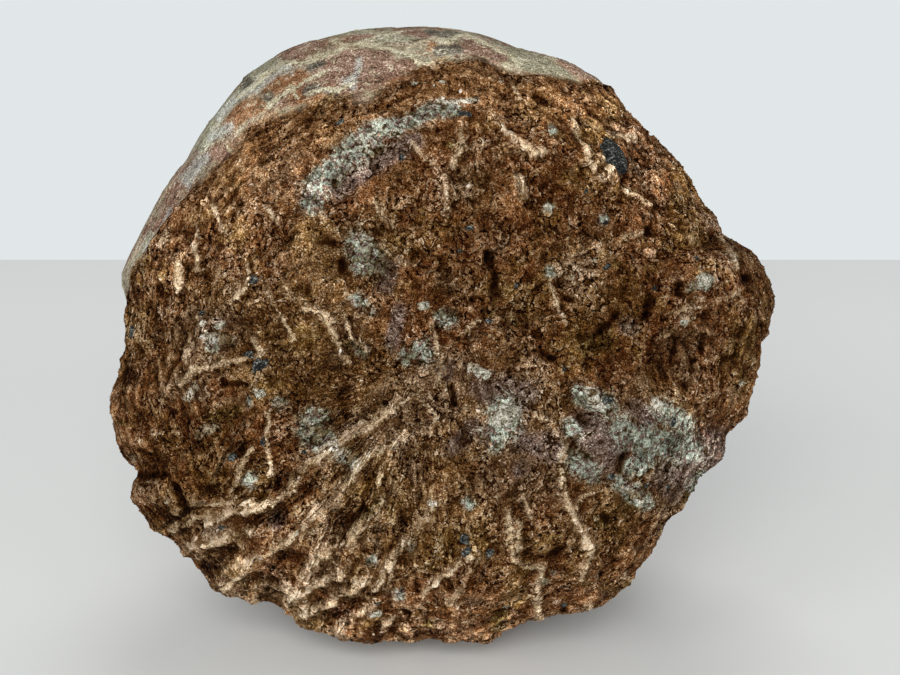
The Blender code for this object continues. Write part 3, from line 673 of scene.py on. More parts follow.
# Slow changes over the stone, for its colours: lumps, large patches, stains and streaks
clod = layered(plain + 2.0 * drift[:, :1], 5.5, 90)
patch = layered(plain, 20.0, 94, 4)
patch += 0.35 * bell(bearing - 1.05, 0.6) * smooth_step(angle, 0.6, 1.1)
patch += 0.30 * smooth_step(np.hypot(plain[:, 0], plain[:, 1]), 30.0, 75.0)
stain = layered(plain + 4.0 * drift[:, 1:], 12.0, 98, 4)
stain -= 0.22 * mound(seen, -2.0, -8.0, 34.0, 30.0)
streak = wrap_share * layered(wrap_place, 2.6, 102) + fan_share * layered(fan_place, 3.0, 106)
thread = np.abs(layered(plain + 2.0 * drift[:, :1], 11.0, 110))

# Fine relief: veins stand out, pits go in, and the rest breaks in chips and ledges
fine = np.zeros(len(angle))
for half_width, height, line in CREAM_VEINS:
    fine += height * bell(distance_to_line(seen, line), half_width)
vein_rise = 0.80 + 0.55 * noise(plain, 4.0, 122) + 0.30 * noise(plain, 1.8, 123)
fine = np.minimum(fine, 2.0) * np.clip(vein_rise, 0.15, 1.0)
fine += 0.35 * smooth_step(nearness(seen, GREEN_MARKS), -0.2, 0.5)
hole_share = 0.60 + 0.60 * noise(plain, 2.2, 67)
for half_width, depth, line in HOLES:
    fine -= depth * hole_share * bell(distance_to_line(seen, line), half_width)
fine *= in_front

bent = plain + 1.2 * drift[:, [0, 1, 0]]
chip_tone, chip = cells(bent, 5.2, 60)[2:]
shard = cells(bent, 2.3, 65)[3]
chips = 0.75 * chip + 0.40 * shard + 0.2 * (chip_tone - 0.5)
slope = noise(plain, 15.0, 63) + 0.25 * noise(plain, 5.0, 64)
ledges = 2.2 * (terraced(slope, 4.0) - slope)
crests = wrap_share * 0.9 * ridged(wrap_place, 4.2, 69)
crests += fan_share * 1.2 * ridged(fan_place, 5.0, 66)
grit = 0.30 * ridged(plain, 2.8, 61) + 0.25 * noise(plain, 1.5, 62) - 0.15
by_shell = bell(past_edge, 12.0) * at_top
broken = chips + ledges * (1.0 - 0.8 * by_shell) + crests - 0.4 * wrap_share + grit
ruggedness = 0.55 + 0.45 * smooth_step(layered(plain, 17.0, 140, 2), -0.3, 0.35)
fine += broken * rough * ruggedness
fine -= lip * at_top
plate_near, plate_next, plate_tone = cells(plain + 3.0 * drift[:, :1], 17.0, 70)[:3]
seam = 1.0 - smooth_step(plate_next - plate_near, 0.02, 0.10)
fine += (0.25 * seam + 0.5 * (plate_tone - 0.5)) * (1.0 - rough)
fine += 0.08 * noise(plain, 2.2, 71) * (1.0 - rough)


def spread_out(values, rounds):
    """Average each point's value with its neighbours' along the mesh, again and again."""
    start = quads.ravel()
    end = np.roll(quads, -1, axis=1).ravel()
    count = np.bincount(start, minlength=len(values))
    for step in range(rounds):
        values = np.bincount(start, weights=values[end], minlength=len(values)) / count
    return values


# How far each point stands above the stone just round it, and above the stone farther off: the
# relief that the painted light and shade read
surface = relief + fine
crest = surface - spread_out(surface, 14)
crest += 0.5 * (surface - spread_out(surface, 60))
crest *= 1.0 - 0.9 * bell(past_edge, 6.0) * at_top


def to_world(points):
    """Lean the face back, stand the centre at its height and turn mm into metres."""
    turned = points @ np.array([RIGHT, UP_FACE, OUT_OF_FACE]) + EGG_CENTRE
    turned[:, 2] = np.maximum(turned[:, 2], 0.0)
    return turned * MM


def grid_mesh(name, points, faces, sheet):
    """A smooth mesh through the points, with its own flat sheet of places."""
    mesh = bpy.data.meshes.new(name)
    mesh.from_pydata(points, [], faces.tolist())
    mesh.polygons.foreach_set("use_smooth", np.ones(len(faces), bool))
    layer = mesh.uv_layers.new(name="OFBake")
    layer.data.foreach_set("uv", sheet.reshape(-1))
    mesh.update()
    return mesh


stone_mesh = grid_mesh("stone", macro * MM, quads, sheet_places)
outward = np.empty(len(macro) * 3)
stone_mesh.vertices.foreach_get("normal", outward)
outward = outward.reshape(-1, 3)
finished = to_world(macro + outward * fine[:, None])
stone_mesh.vertices.foreach_set("co", finished.ravel())


def keep_number(mesh, name, values):
    """Store one number at each point of the mesh, for its material to read."""
    store = mesh.attributes.new(name, 'FLOAT', 'POINT')
    store.data.foreach_set("value", np.asarray(values, np.float32))


def keep_place(mesh, name, values):
    """Store a place in space at each point of the mesh, for its material to read."""
    store = mesh.attributes.new(name, 'FLOAT_VECTOR', 'POINT')
    store.data.foreach_set("vector", np.asarray(values, np.float32).ravel())


LIT_SIDE = np.array([-0.45, 0.89])
FAR_OFF = 99.0
LINE_REACH = 6.0          # distances from lines are stored up to here


def nearest_side(spots, lines_of):
    """Distance of each spot from the nearest of several lines, positive on the side that
    the light comes from."""
    nearest = np.full(len(spots), FAR_OFF)
    for line in lines_of:
        for step in steps_from_line(spots, line):
            gap = np.linalg.norm(step, axis=1)
            lit = np.where(step @ LIT_SIDE > 0.0, 1.0, -1.0)
            nearest = np.where(gap < np.abs(nearest), gap * lit, nearest)
    return np.clip(nearest, -LINE_REACH, LINE_REACH)


def fading(spots, marks):
    """1 on the middle line of the nearest mark, falling off as a bell beyond it."""
    best = np.zeros(len(spots))
    for half_width, line in marks:
        best = np.maximum(best, bell(distance_to_line(spots, line), half_width))
    return best


veins = [(half_width, line) for half_width, height, line in CREAM_VEINS]
holes = [(half_width, line) for half_width, depth, line in HOLES]
whole_front = smooth_step(-angle, *[-math.radians(end) for end in COLOUR_FADES])
uneven = 0.88 + 0.65 * noise(plain, 7.0, 120) + 0.35 * noise(plain, 2.6, 121)
uneven = np.clip(uneven, 0.12, 1.25)
gold = bell(past_edge - 7.0, 8.0) * bell(bearing - 1.75, 0.95, 4)
# The stored shade: painted light and shade and stains from the ovals above, with a random mottle
# over the rough part. It multiplies the colour of the rock and of the shell.
shade = np.ones(len(angle))
for *oval, bright in STAINS_AND_PAINTED_LIGHT:
    shade *= 1.0 + (bright - 1.0) * mound(seen, *oval) * in_front
mottle = 1.0 + 0.55 * layered(plain + 3.0 * drift[:, :1], 8.0, 150)
shade *= 1.0 + (np.clip(mottle, 0.6, 1.5) - 1.0) * rough
stored = {
    "cream": fading(seen, veins) * in_front * uneven,
    "green": fading(seen, GREEN_MARKS) * in_front,
    "mauve": fading(seen, MAUVE_MARKS) * in_front,
    "white": fading(seen, WHITE_MARKS) * in_front,
    "ochre": fading(seen, OCHRE_MARKS) * in_front,
    "hollow": fading(seen, holes) * in_front,
    "gold": gold * rough,
    "vein_side": nearest_side(seen, [line for half_width, line in veins]),
    "vein_near": fading(seen, [(2.2 + width, line) for width, line in veins]) * uneven,
    "relief": crest,
    "rough": past_edge / 3.0,
    "plate": plate_tone,
    "seam": plate_next - plate_near,
    "clod": clod,
    "patch": patch,
    "stain": stain,
    "streak": streak,
    "thread": thread,
    "grit": np.zeros(len(angle)),        # only the crumbs differ in it
    "shade": shade,
}
for label, marks in SHELL_MARKS.items():
    stored[label] = fading(seen, marks) * whole_front
stored["lime_side"] = nearest_side(seen, [line for width, line in SHELL_MARKS["shell_lime"]])
stored["grain_share"] = np.maximum(wrap_share, fan_share) * rough + 0.5 * (1.0 - rough)
grain_place = np.where((fan_share > wrap_share)[:, None], fan_place, wrap_place) * MM
keep_place(stone_mesh, "grain", grain_place)
for label, values in stored.items():
    keep_number(stone_mesh, label, values)


def linear(screen):
    """A 0 to 255 screen value as linear light."""
    part = screen / 255.0
    return part / 12.92 if part <= 0.04045 else ((part + 0.055) / 1.055) ** 2.4


class Finish:
    """A material's nodes, added one at a time, each call giving back its output."""

    def __init__(self, name):
        self.material = bpy.data.materials.new(name)
        self.material.use_nodes = True
        self.nodes = self.material.node_tree.nodes
        self.links = self.material.node_tree.links
        self.shader = self.nodes["Principled BSDF"]
        self.place = self.nodes.new("ShaderNodeTexCoord").outputs["Object"]

    def put(self, value, socket):
        """Link an output, or set a plain value, on a socket."""
        if isinstance(value, bpy.types.NodeSocket):
            self.links.new(value, socket)
        else:
            socket.default_value = value

    def stored(self, name, output="Fac"):
        """A number or a place stored on the mesh."""
        node = self.nodes.new("ShaderNodeAttribute")
        node.attribute_name = name
        return node.outputs[output]

    def noise(self, size, detail, roughness, place=None, output="Fac"):
        """Noise from 0 to 1 whose lumps are about this many millimetres across."""
        node = self.nodes.new("ShaderNodeTexNoise")
        node.inputs["Scale"].default_value = 1.0 / (size * MM)
        node.inputs["Detail"].default_value = detail
        node.inputs["Roughness"].default_value = roughness
        self.put(place or self.place, node.inputs["Vector"])
        return node.outputs[output]

    def cells(self, size, place):
        """Scattered cells: the distance to the nearest middle, and a colour for each."""
        node = self.nodes.new("ShaderNodeTexVoronoi")
        node.inputs["Scale"].default_value = 1.0 / (size * MM)
        self.put(place, node.inputs["Vector"])
        return node.outputs

    def sum(self, kind, first, second=0.0, third=0.0):
        """One step of arithmetic on numbers."""
        node = self.nodes.new("ShaderNodeMath")
        node.operation = kind
        for value, socket in zip((first, second, third), node.inputs):
            self.put(value, socket)
        return node.outputs[0]

    def less(self, value, amount):
        """A value less another."""
        return self.sum('SUBTRACT', value, amount)

    def times(self, first, *others):
        """The product of all the values."""
        for value in others:
            first = self.sum('MULTIPLY', first, value)
        return first

    def mean(self, *parts):
        """Add up (value, weight) pairs."""
        total = 0.0
        for value, weight in parts:
            total = self.sum('MULTIPLY_ADD', value, weight, total)
        return total

    def rise(self, value, start, end, low=0.0, high=1.0):
        """An S-shaped rise from low to high as the value goes from start to end."""
        node = self.nodes.new("ShaderNodeMapRange")
        node.interpolation_type = 'SMOOTHSTEP'
        self.put(value, node.inputs["Value"])
        for label, amount in zip(("From Min", "From Max", "To Min", "To Max"),
                                 (start, end, low, high)):
            node.inputs[label].default_value = amount
        return node.outputs["Result"]

    def ramp(self, value, stops):
        """Colours read along a scale: (place, red, green, blue) from 0 to 255 sRGB."""
        node = self.nodes.new("ShaderNodeValToRGB")
        scale = node.color_ramp.elements
        while len(scale) < len(stops):
            scale.new(0.5)
        for stop, (place, *screen) in zip(scale, stops):
            stop.position = place
            stop.color = (*[linear(part) for part in screen], 1.0)
        self.put(value, node.inputs["Fac"])
        return node.outputs["Color"]

    def blend(self, share, below, above, kind='MIX'):
        """Lay one colour over another by a share from 0 to 1."""
        node = self.nodes.new("ShaderNodeMix")
        node.data_type = 'RGBA'
        node.blend_type = kind
        self.put(share, node.inputs["Factor"])
        self.put(below, [part for part in node.inputs if part.type == 'RGBA'][0])
        self.put(above, [part for part in node.inputs if part.type == 'RGBA'][1])
        return [out for out in node.outputs if out.type == 'RGBA'][0]

    def moved(self, size, reach):
        """Object places pushed about by noise, so that straight patterns turn ragged."""
        node = self.nodes.new("ShaderNodeVectorMath")
        node.operation = 'MULTIPLY_ADD'
        self.put(self.noise(size, 2.0, 0.6, output="Color"), node.inputs[0])
        node.inputs[1].default_value = [reach * MM] * 3
        self.put(self.place, node.inputs[2])
        return node.outputs[0]

    def warm_grey(self, value):
        """A number as a grey that turns to warm brown as it darkens below 1."""
        node = self.nodes.new("ShaderNodeCombineColor")
        below, above = self.sum('MINIMUM', value, 1.0), self.sum('MAXIMUM', value, 1.0)
        for channel, power in zip(node.inputs, (0.85, 1.1, 1.5)):
            self.put(self.times(self.sum('POWER', below, power), above), channel)
        return node.outputs["Color"]

    def dent(self, height, reach):
        """Tilt the light on the surface as if it rose by the height, up to reach mm."""
        node = self.nodes.new("ShaderNodeBump")
        node.inputs["Distance"].default_value = reach * MM
        self.put(height, node.inputs["Height"])
        self.put(node.outputs["Normal"], self.shader.inputs["Normal"])


SHADE_PLACES = (0.26, 0.43, 0.56, 0.76)   # where along a tone the four colours lie


def shades(finish, tone, colours):
    """Four colours of one kind of rock, from its crevices to its brightest grains."""
    return finish.ramp(tone, [(place, *four) for place, four in zip(SHADE_PLACES, colours)])


stone = Finish("veined_sandstone")
warped = stone.moved(2.2, 1.6)
hair = stone.noise(0.36, 2.0, 0.8, warped)
sand = stone.noise(1.3, 3.0, 0.7, warped)
grain = stone.stored("grain", "Vector")
grain_share = stone.stored("grain_share")
fibre = stone.noise(1.5, 2.0, 0.6, grain)
fibre = stone.times(stone.less(fibre, 0.5), grain_share)
clod = stone.stored("clod")
stain = stone.stored("stain")
relief = stone.stored("relief")
streak = stone.stored("streak")


def lines(size, reach, detail):
    """Thin wandering lines where a noise passes its middle value: from 0 to 1."""
    value = stone.noise(size, detail, 0.6, warped)
    return stone.rise(stone.sum('ABSOLUTE', stone.less(value, 0.5)), reach, 0.0)


def off_line(label, stray):
    """Distance from a stored line, pushed to and fro by the sand by this many mm."""
    return stone.mean((stone.stored(label), 1.0), (stone.less(sand, 0.5), stray))


crack_lines = lines(2.1, 0.040, 1.0)
# The stored relief makes the tone a little lighter on raised parts: painted light.
tone = stone.mean((hair, 0.96), (sand, 0.36), (clod, 0.08), (fibre, 0.75),
                  (streak, 0.15), (relief, 0.04), (stone.stored("grit"), 1.0),
                  (crack_lines, -0.05), (-0.158, 1.0))

# Flakes: thin layers that break off in steps, with a painted shadow at each foot and a painted
# highlight on each lip. The steps also dent the surface.
FLAKE_PAINTED_SHADING = [(0.0, 255), (0.16, 228), (0.60, 216), (0.74, 136), (0.83, 120), (0.89, 240),
               (1.0, 255)]
flake = stone.noise(9.0, 2.0, 0.5, warped)
layer_share = stone.less(stone.noise(7.0, 3.0, 0.6, grain), flake)
flake = stone.sum('MULTIPLY_ADD', layer_share, stone.times(grain_share, 0.7), flake)
flake = stone.sum('FRACT', stone.sum('MULTIPLY_ADD', flake, 9.0, stone.times(sand, 0.25)))
flaky = stone.rise(clod, -0.30, 0.1, 0.3, 1.0)
flake_painted_shading = stone.ramp(flake, [(place, grey, grey, grey) for place, grey in FLAKE_PAINTED_SHADING])
flake_painted_shading = stone.less(stone.times(flake_painted_shading, 1.24), 1.0)
flake_painted_shading = stone.sum('MULTIPLY_ADD', flake_painted_shading, flaky, 1.0)
lip_painted_highlight = stone.sum('ADD', stone.rise(flake, 0.86, 0.92), stone.rise(flake, 0.16, 0.02))
lip_painted_highlight = stone.times(lip_painted_highlight, stone.times(flaky, 0.42), stone.rise(hair, 0.42, 0.56))
flake_step = stone.less(stone.rise(flake, 0.78, 0.95), flake)

ragged = stone.less(stone.mean((hair, 0.9), (sand, 0.9), (clod, 0.25)), 0.9)


def marked(name, low, high, most, rag=1.0):
    """How far a mark covers the stone, its edge broken up by the sand."""
    spread = stone.sum('MULTIPLY_ADD', ragged, rag, stone.stored(name))
    return stone.rise(spread, low, high, 0.0, most)


# Colours of the broken rock, laid one over another
ROCK_SHADES = {
    "brown": [(4, 1, 0), (79, 50, 20), (141, 104, 63), (237, 210, 168)],
    "red": [(5, 1, 0), (86, 46, 19), (148, 97, 57), (241, 201, 158)],
    "olive": [(9, 5, 1), (86, 60, 24), (146, 112, 58), (234, 208, 150)],
    "dusk": [(10, 6, 4), (80, 56, 38), (136, 108, 80), (228, 206, 178)],
    "mauve": [(13, 8, 8), (81, 64, 58), (130, 111, 101), (218, 202, 190)],
    "green": [(32, 36, 32), (119, 128, 113), (160, 169, 153), (224, 230, 218)],
    "cream": [(48, 34, 18), (144, 120, 90), (186, 163, 131), (224, 210, 184)],
    "rose": [(52, 34, 22), (150, 121, 93), (190, 165, 136), (228, 213, 191)],
    "white": [(64, 56, 42), (168, 160, 142), (212, 206, 190), (246, 244, 236)],
    "crest": [(64, 46, 28), (158, 133, 101), (198, 176, 143), (232, 218, 194)],
    "ochre": [(12, 7, 1), (70, 54, 20), (116, 94, 46), (196, 174, 120)],
    "gold": [(12, 6, 1), (106, 69, 37), (163, 119, 76), (240, 210, 170)],
}
rock = {label: shades(stone, tone, four) for label, four in ROCK_SHADES.items()}
vein = stone.blend(stone.rise(clod, -0.2, 0.3), rock["cream"], rock["rose"])
speckled = stone.blend(stone.rise(sand, 0.42, 0.54), rock["mauve"], rock["green"])
stripe = stone.rise(stone.stored("thread"), 0.05, 0.0, 0.0, 0.35)
fleck = stone.rise(stone.noise(1.7, 3.0, 0.8, warped), 0.60, 0.66, 0.0, 0.75)
crest_line = stone.rise(stone.sum('ABSOLUTE', off_line("vein_side", 4.0)), 0.70, 0.10)
crest_line = stone.times(crest_line, stone.rise(stone.stored("cream"), 0.25, 0.7))
body = rock["brown"]
for share, colour in (
    (stone.rise(stone.stored("patch"), -0.15, 0.35, 0.0, 0.8), rock["red"]),
    (stone.rise(stain, 0.0, 0.4, 0.0, 0.7), rock["olive"]),
    (stone.rise(stain, -0.1, -0.45, 0.0, 0.8), rock["dusk"]),
    (stripe, vein),
    (fleck, vein),
    # Painted highlight: the pale vein colour laid on the lips of the flakes
    (stone.times(lip_painted_highlight, 1.2), vein),
    (stone.times(stone.stored("gold"), 0.85), rock["gold"]),
    (marked("mauve", 0.2, 0.9, 0.85), rock["mauve"]),
    (marked("ochre", 0.2, 0.9, 0.8), rock["ochre"]),
    (marked("green", 0.12, 0.75, 0.92), speckled),
    (marked("cream", 0.20, 0.95, 0.42, 1.5), vein),
    (marked("cream", 0.50, 0.90, 0.55, 3.2), vein),
    (stone.times(crest_line, 0.55), rock["crest"]),
    (marked("white", 0.35, 0.80, 0.88, 1.6), rock["white"]),
):
    body = stone.blend(share, body, colour)

# Lone grains, from black to white
dots = stone.cells(1.9, warped)
lone = stone.sum('LESS_THAN', dots["Distance"], stone.rise(sand, 0.35, 0.7, 0.0, 0.30))
dot_tone = stone.ramp(dots["Color"], [(0.0, 10, 9, 9), (0.40, 26, 22, 20), (0.45, 176, 132, 96),
                                      (0.75, 222, 196, 166), (1.0, 248, 244, 238)])
body = stone.blend(stone.times(lone, 0.75), body, dot_tone)

# Painted shade: the colour is darkened where less light gets in, in pockets, pores, pits, low
# parts and the lee of a vein, and painted lighter on raised parts
pocket = stone.rise(stone.noise(0.95, 1.0, 0.7, warped), 0.35, 0.43, 0.06, 1.0)
bare = stone.rise(clod, 0.10, -0.25, 0.0, 0.75)
bare = stone.sum('MAXIMUM', bare, stone.times(stone.stored("green"), 0.6))
pocket = stone.sum('MAXIMUM', pocket, stone.sum('MAXIMUM', bare, stone.stored("cream")))
painted_pore_shade = stone.less(stone.rise(stone.noise(1.1, 2.0, 0.6), 0.38, 0.66, 0.0, 0.36),
                  stone.cells(3.2, warped)["Distance"])
painted_pore_shade = stone.rise(painted_pore_shade, 0.0, 0.06, 1.0, 0.16)
painted_low_shade = stone.rise(relief, -1.2, 1.0, 0.34, 1.34)
painted_pit_shade = stone.rise(marked("hollow", 0.40, 0.85, 1.0, 1.6), 0.0, 1.0, 1.0, 0.20)
flank = off_line("vein_side", 3.0)
painted_lee_shadow = stone.times(stone.rise(flank, -0.4, -1.0), stone.rise(flank, -2.6, -1.2),
                  stone.rise(stone.stored("vein_near"), 0.1, 0.8))
# All the painted shade and light, times the stored shade with its stains and mottle, as one factor
# that darkens or lightens the colour
depth = stone.times(pocket, stone.times(painted_low_shade, painted_pit_shade), painted_pore_shade, flake_painted_shading,
                    stone.rise(painted_lee_shadow, 0.0, 1.0, 1.0, 0.42), stone.stored("shade"))
body = stone.blend(1.0, body, stone.warm_grey(depth), 'MULTIPLY')

# Colours of the smooth shell, laid one over another
SHELL_SHADES = {
    "maroon": [(18, 9, 6), (93, 67, 54), (139, 108, 90), (212, 188, 170)],
    "drab": [(30, 23, 14), (111, 95, 75), (156, 140, 118), (216, 207, 190)],
    "sage": [(38, 36, 24), (116, 111, 88), (155, 151, 128), (220, 220, 202)],
    "rust": [(22, 9, 3), (102, 64, 38), (148, 104, 68), (214, 178, 140)],
    "veil": [(56, 52, 46), (128, 129, 122), (166, 168, 160), (226, 228, 222)],
    "lime": [(70, 58, 38), (156, 146, 118), (200, 192, 164), (242, 240, 224)],
    "murk": [(12, 10, 8), (64, 58, 48), (98, 92, 80), (164, 160, 150)],
}
shell_tone = stone.mean((hair, 1.10), (sand, 0.40), (clod, 0.06), (streak, 0.12),
                        (fibre, 0.4), (crack_lines, -0.04), (-0.255, 1.0))
cover = {label: shades(stone, shell_tone, four) for label, four in SHELL_SHADES.items()}
plate = stone.stored("plate")
clouds = stone.noise(26.0, 5.0, 0.62, warped)
film = stone.noise(9.0, 3.0, 0.65, warped)
drab_share = stone.mean((clouds, 1.0), (plate, 0.10), (ragged, 0.10))
sage_share = stone.mean((film, 1.0), (plate, 0.16), (clouds, -0.5), (ragged, 0.12))
seam_edge = stone.mean((stone.stored("seam"), 1.0), (ragged, 0.05))
film = stone.rise(stone.mean((film, 1.0), (clod, 0.1)), 0.47, 0.53)
net = stone.rise(stone.sum('ABSOLUTE', off_line("lime_side", 3.0)), 0.60, 0.25)
net = stone.times(net, stone.rise(stone.stored("shell_lime"), 0.2, 0.5))
shell = cover["maroon"]
for share, label in (
    (stone.rise(drab_share, 0.50, 0.60), "drab"),
    (stone.rise(sage_share, 0.32, 0.44, 0.0, 0.75), "sage"),
    (stone.rise(stain, 0.05, 0.4, 0.0, 0.7), "rust"),
    (stone.rise(seam_edge, 0.07, 0.0, 0.0, 0.8), "lime"),
    (stone.times(film, 0.30), "drab"),
    (marked("shell_sage", 0.30, 0.55, 0.9, 1.2), "sage"),
    (marked("shell_maroon", 0.30, 0.55, 0.9, 1.2), "maroon"),
    (marked("shell_rust", 0.30, 0.60, 0.85, 1.2), "rust"),
    (marked("shell_veil", 0.25, 0.90, 0.7, 1.6), "veil"),
    (marked("shell_murk", 0.30, 0.65, 0.9, 1.0), "murk"),
    (marked("shell_lime", 0.45, 1.1, 0.5, 1.6), "lime"),
    (stone.times(net, 0.85), "lime"),
    (stone.times(lines(7.0, 0.014, 3.0), 0.7), "lime"),
):
    shell = stone.blend(share, shell, cover[label])
# Painted light and shade on the shell, with its stains: the stored shade darkens or lightens the
# shell's colour.
shell_light = stone.times(stone.stored("shade"), 1.22)
shell = stone.blend(1.0, shell, stone.warm_grey(shell_light), 'MULTIPLY')

# The shell is smooth and the break rough, and both are too dusty to shine
SHELL_ROUGHNESS = 0.46
ROCK_ROUGHNESS = 0.88
SPECULAR = 0.03
rim_share = stone.mean((stone.stored("rough"), 1.0), (ragged, 1.6), (clod, 0.8))
rough_share = stone.rise(rim_share, -0.9, 0.3)
roughness = stone.rise(rough_share, 0.0, 1.0, SHELL_ROUGHNESS, ROCK_ROUGHNESS)
stone.put(stone.blend(rough_share, shell, body), stone.shader.inputs["Base Color"])
stone.put(roughness, stone.shader.inputs["Roughness"])
stone.put(SPECULAR, stone.shader.inputs["Specular IOR Level"])
height = stone.mean((hair, 0.45), (sand, 0.9), (pocket, 0.25),
                    (stone.times(flake_step, flaky), 0.80))
height = stone.times(height, stone.rise(stone.stored("rough"), -0.4, 0.4, 0.22, 1.0))
stone.dent(height, 1.8)


def set_down(name, mesh, finish):
    """Make a piece of the mesh, in its finish, that goes where the stone goes."""
    mesh.materials.append(finish.material)
    piece = bpy.data.objects.new(name, mesh)
    bpy.context.scene.collection.objects.link(piece)
    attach(piece, "root")
    return piece


stone_piece = set_down("stone", stone_mesh, stone)
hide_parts("fossil_egg")

# ---- Clasts --------------------------------------------------------------------------
# Small dark stones and pale pebbles that were in the sand before it set. Each is a lump
# broken flat on many sides, more than half buried, and stands where the sand held it.
DARK_CLASTS = [  # right, up, half length, half width, and turn in degrees
    (6.3, 55.5, 2.2, 1.3, 10), (-9.5, 44.3, 1.0, 0.8, 60), (-24.5, 52, 1.5, 0.9, 35),
    (45, 44.5, 5.0, 3.7, -50), (42.5, 49, 2.4, 1.3, 20), (46.3, 18.9, 1.5, 1.2, 0),
    (38, 37, 1.1, 0.8, 30), (-47, -8, 2.6, 1.6, 40), (-49.5, -5.5, 1.6, 1.1, 0),
    (-77, 0, 1.7, 1.1, 90), (-75, -24, 3.2, 2.5, 80), (-74.5, -27.3, 2.2, 1.5, 60),
    (-66.5, -23.5, 1.6, 1.2, 10), (-44, -27.2, 1.2, 0.9, 50), (-47.5, 14, 1.4, 1.0, 0),
    (43.6, -16.5, 1.7, 1.2, 20), (59.5, -21.8, 1.4, 1.0, 70), (43.5, -35.8, 1.2, 1.0, 0),
    (52.3, -37.5, 1.3, 1.0, 45), (6.4, -49.8, 1.9, 1.5, 80), (6.9, -52.6, 1.6, 1.2, 60),
    (12.4, -54.2, 1.5, 1.1, 70), (-62.4, -57, 1.9, 1.0, 100), (31, -69, 1.1, 0.8, 0),
    (-3, 69, 1.3, 0.7, 0), (14, 4, 1.0, 0.8, 0), (8, 27.5, 1.2, 0.9, 15),
    (5.5, 21.8, 1.3, 0.9, 40), (58, -38.5, 1.2, 0.9, 0), (-54, -48, 0.9, 0.7, 0),
    (58.5, 12.5, 1.0, 0.7, 30), (-52.5, -31.5, 1.2, 1.1, 0), (-61, 6, 0.9, 0.7, 20),
    (44.5, 30.5, 1.2, 0.9, 0), (22, 14, 0.9, 0.6, 70), (-34, -30, 0.9, 0.7, 0),
    (33, -9, 0.9, 0.7, 30), (66, 20, 0.9, 0.6, 0), (-15, -66, 0.9, 0.7, 50),
]
PALE_CLASTS = [
    (10.8, -9.8, 2.8, 1.6, -20), (67.3, 14, 2.3, 1.9, 10), (-56.5, 2.5, 1.4, 1.0, 30),
    (-76.8, -31.3, 1.3, 1.0, 0), (-4, 7.2, 1.7, 1.2, 15), (16, -20, 3.6, 3.0, 40),
    (28.5, 33, 1.2, 0.8, 0), (-16.3, -69.5, 1.9, 1.1, 30), (0.8, 62.7, 1.1, 0.7, 20),
    (-7, 63, 0.9, 0.5, 0), (-46, -15, 1.5, 1.0, 20), (55.5, -18.3, 1.5, 0.8, 90),
    (64.5, 3.3, 1.0, 0.7, 0), (-36, -66, 0.9, 0.7, 0),
]
CLAST_SINK = 0.50
CLAST_HEIGHT = 0.75              # as a share of its half width
CLAST_CUTS = 16
CLAST_CUT_PLACES = (0.72, 1.05)
CLAST_REACH = 1.15
CLAST_DETAIL = 6
CLAST_SHADES = {
    "dark_clast": [(2, 2, 2), (18, 19, 18), (48, 51, 48), (152, 153, 144)],
    "pale_clast": [(40, 34, 24), (122, 116, 96), (176, 170, 150), (236, 234, 224)],
}
SHEET_GAP = 0.06
STAR = np.array([(1, 0, 0), (-1, 0, 0), (0, 1, 0), (0, -1, 0), (0, 0, 1), (0, 0, -1)])
FACET_TURNS = np.array([(0, 2, 4), (2, 1, 4), (1, 3, 4), (3, 0, 4),
                        (2, 0, 5), (1, 2, 5), (3, 1, 5), (0, 3, 5)])
SHEET_SPOTS = np.array([  # where the corners of each facet lie on an unfolded square
    [(1.0, 0.5), (0.5, 1.0), (0.5, 0.5)], [(0.5, 1.0), (0.0, 0.5), (0.5, 0.5)],
    [(0.0, 0.5), (0.5, 0.0), (0.5, 0.5)], [(0.5, 0.0), (1.0, 0.5), (0.5, 0.5)],
    [(0.5, 1.0), (1.0, 0.5), (1.0, 1.0)], [(0.0, 0.5), (0.5, 1.0), (0.0, 1.0)],
    [(0.5, 0.0), (0.0, 0.5), (0.0, 0.0)], [(1.0, 0.5), (0.5, 0.0), (1.0, 0.0)],
])
lean_normals = outward @ np.array([RIGHT, UP_FACE, OUT_OF_FACE])


def star_ball(count):
    """A ball from a star of six corners: each of its eight facets is cut into count rows
    of triangles. Gives directions, faces, and each face corner's place on the square."""
    first, second = np.meshgrid(np.arange(count + 1), np.arange(count + 1), indexing="ij")
    inside = first + second <= count
    index = np.cumsum(inside).reshape(inside.shape) - 1
    shares = np.stack([first, second, count - first - second], 2)[inside] / count
    whole = inside[1:, 1:] | (first + second == count)[1:, :-1]
    upright = np.stack([index[1:, :-1], index[:-1, 1:], index[:-1, :-1]], 2)[whole]
    turned = np.stack([index[1:, :-1], index[1:, 1:], index[:-1, 1:]], 2)[inside[1:, 1:]]
    rows = np.concatenate([upright, turned])
    points = np.einsum("ks,fsx->fkx", shares, STAR[FACET_TURNS]).reshape(-1, 3)
    sheet = np.einsum("ks,fsx->fkx", shares, SHEET_SPOTS).reshape(-1, 2)
    faces = (np.arange(8)[:, None, None] * len(shares) + rows[None]).reshape(-1, 3)
    key = (np.rint(points * count).astype(np.int64) + 50) @ [1, 1000, 1000000]
    kept, where, weld = np.unique(key, return_index=True, return_inverse=True)
    points = points[where] / np.linalg.norm(points[where], axis=1)[:, None]
    return points, weld.reshape(-1)[faces], sheet[faces]


def in_own_cells(sheet, count):
    """Copies of a square of places, one in each cell of a square grid of cells."""
    rows = int(math.ceil(math.sqrt(count)))
    cell = np.stack(np.divmod(np.arange(count), rows), axis=1)
    square = SHEET_GAP + (1.0 - 2.0 * SHEET_GAP) * sheet[None]
    return ((cell[:, None, None, :] + square) / rows).reshape(-1, 2)


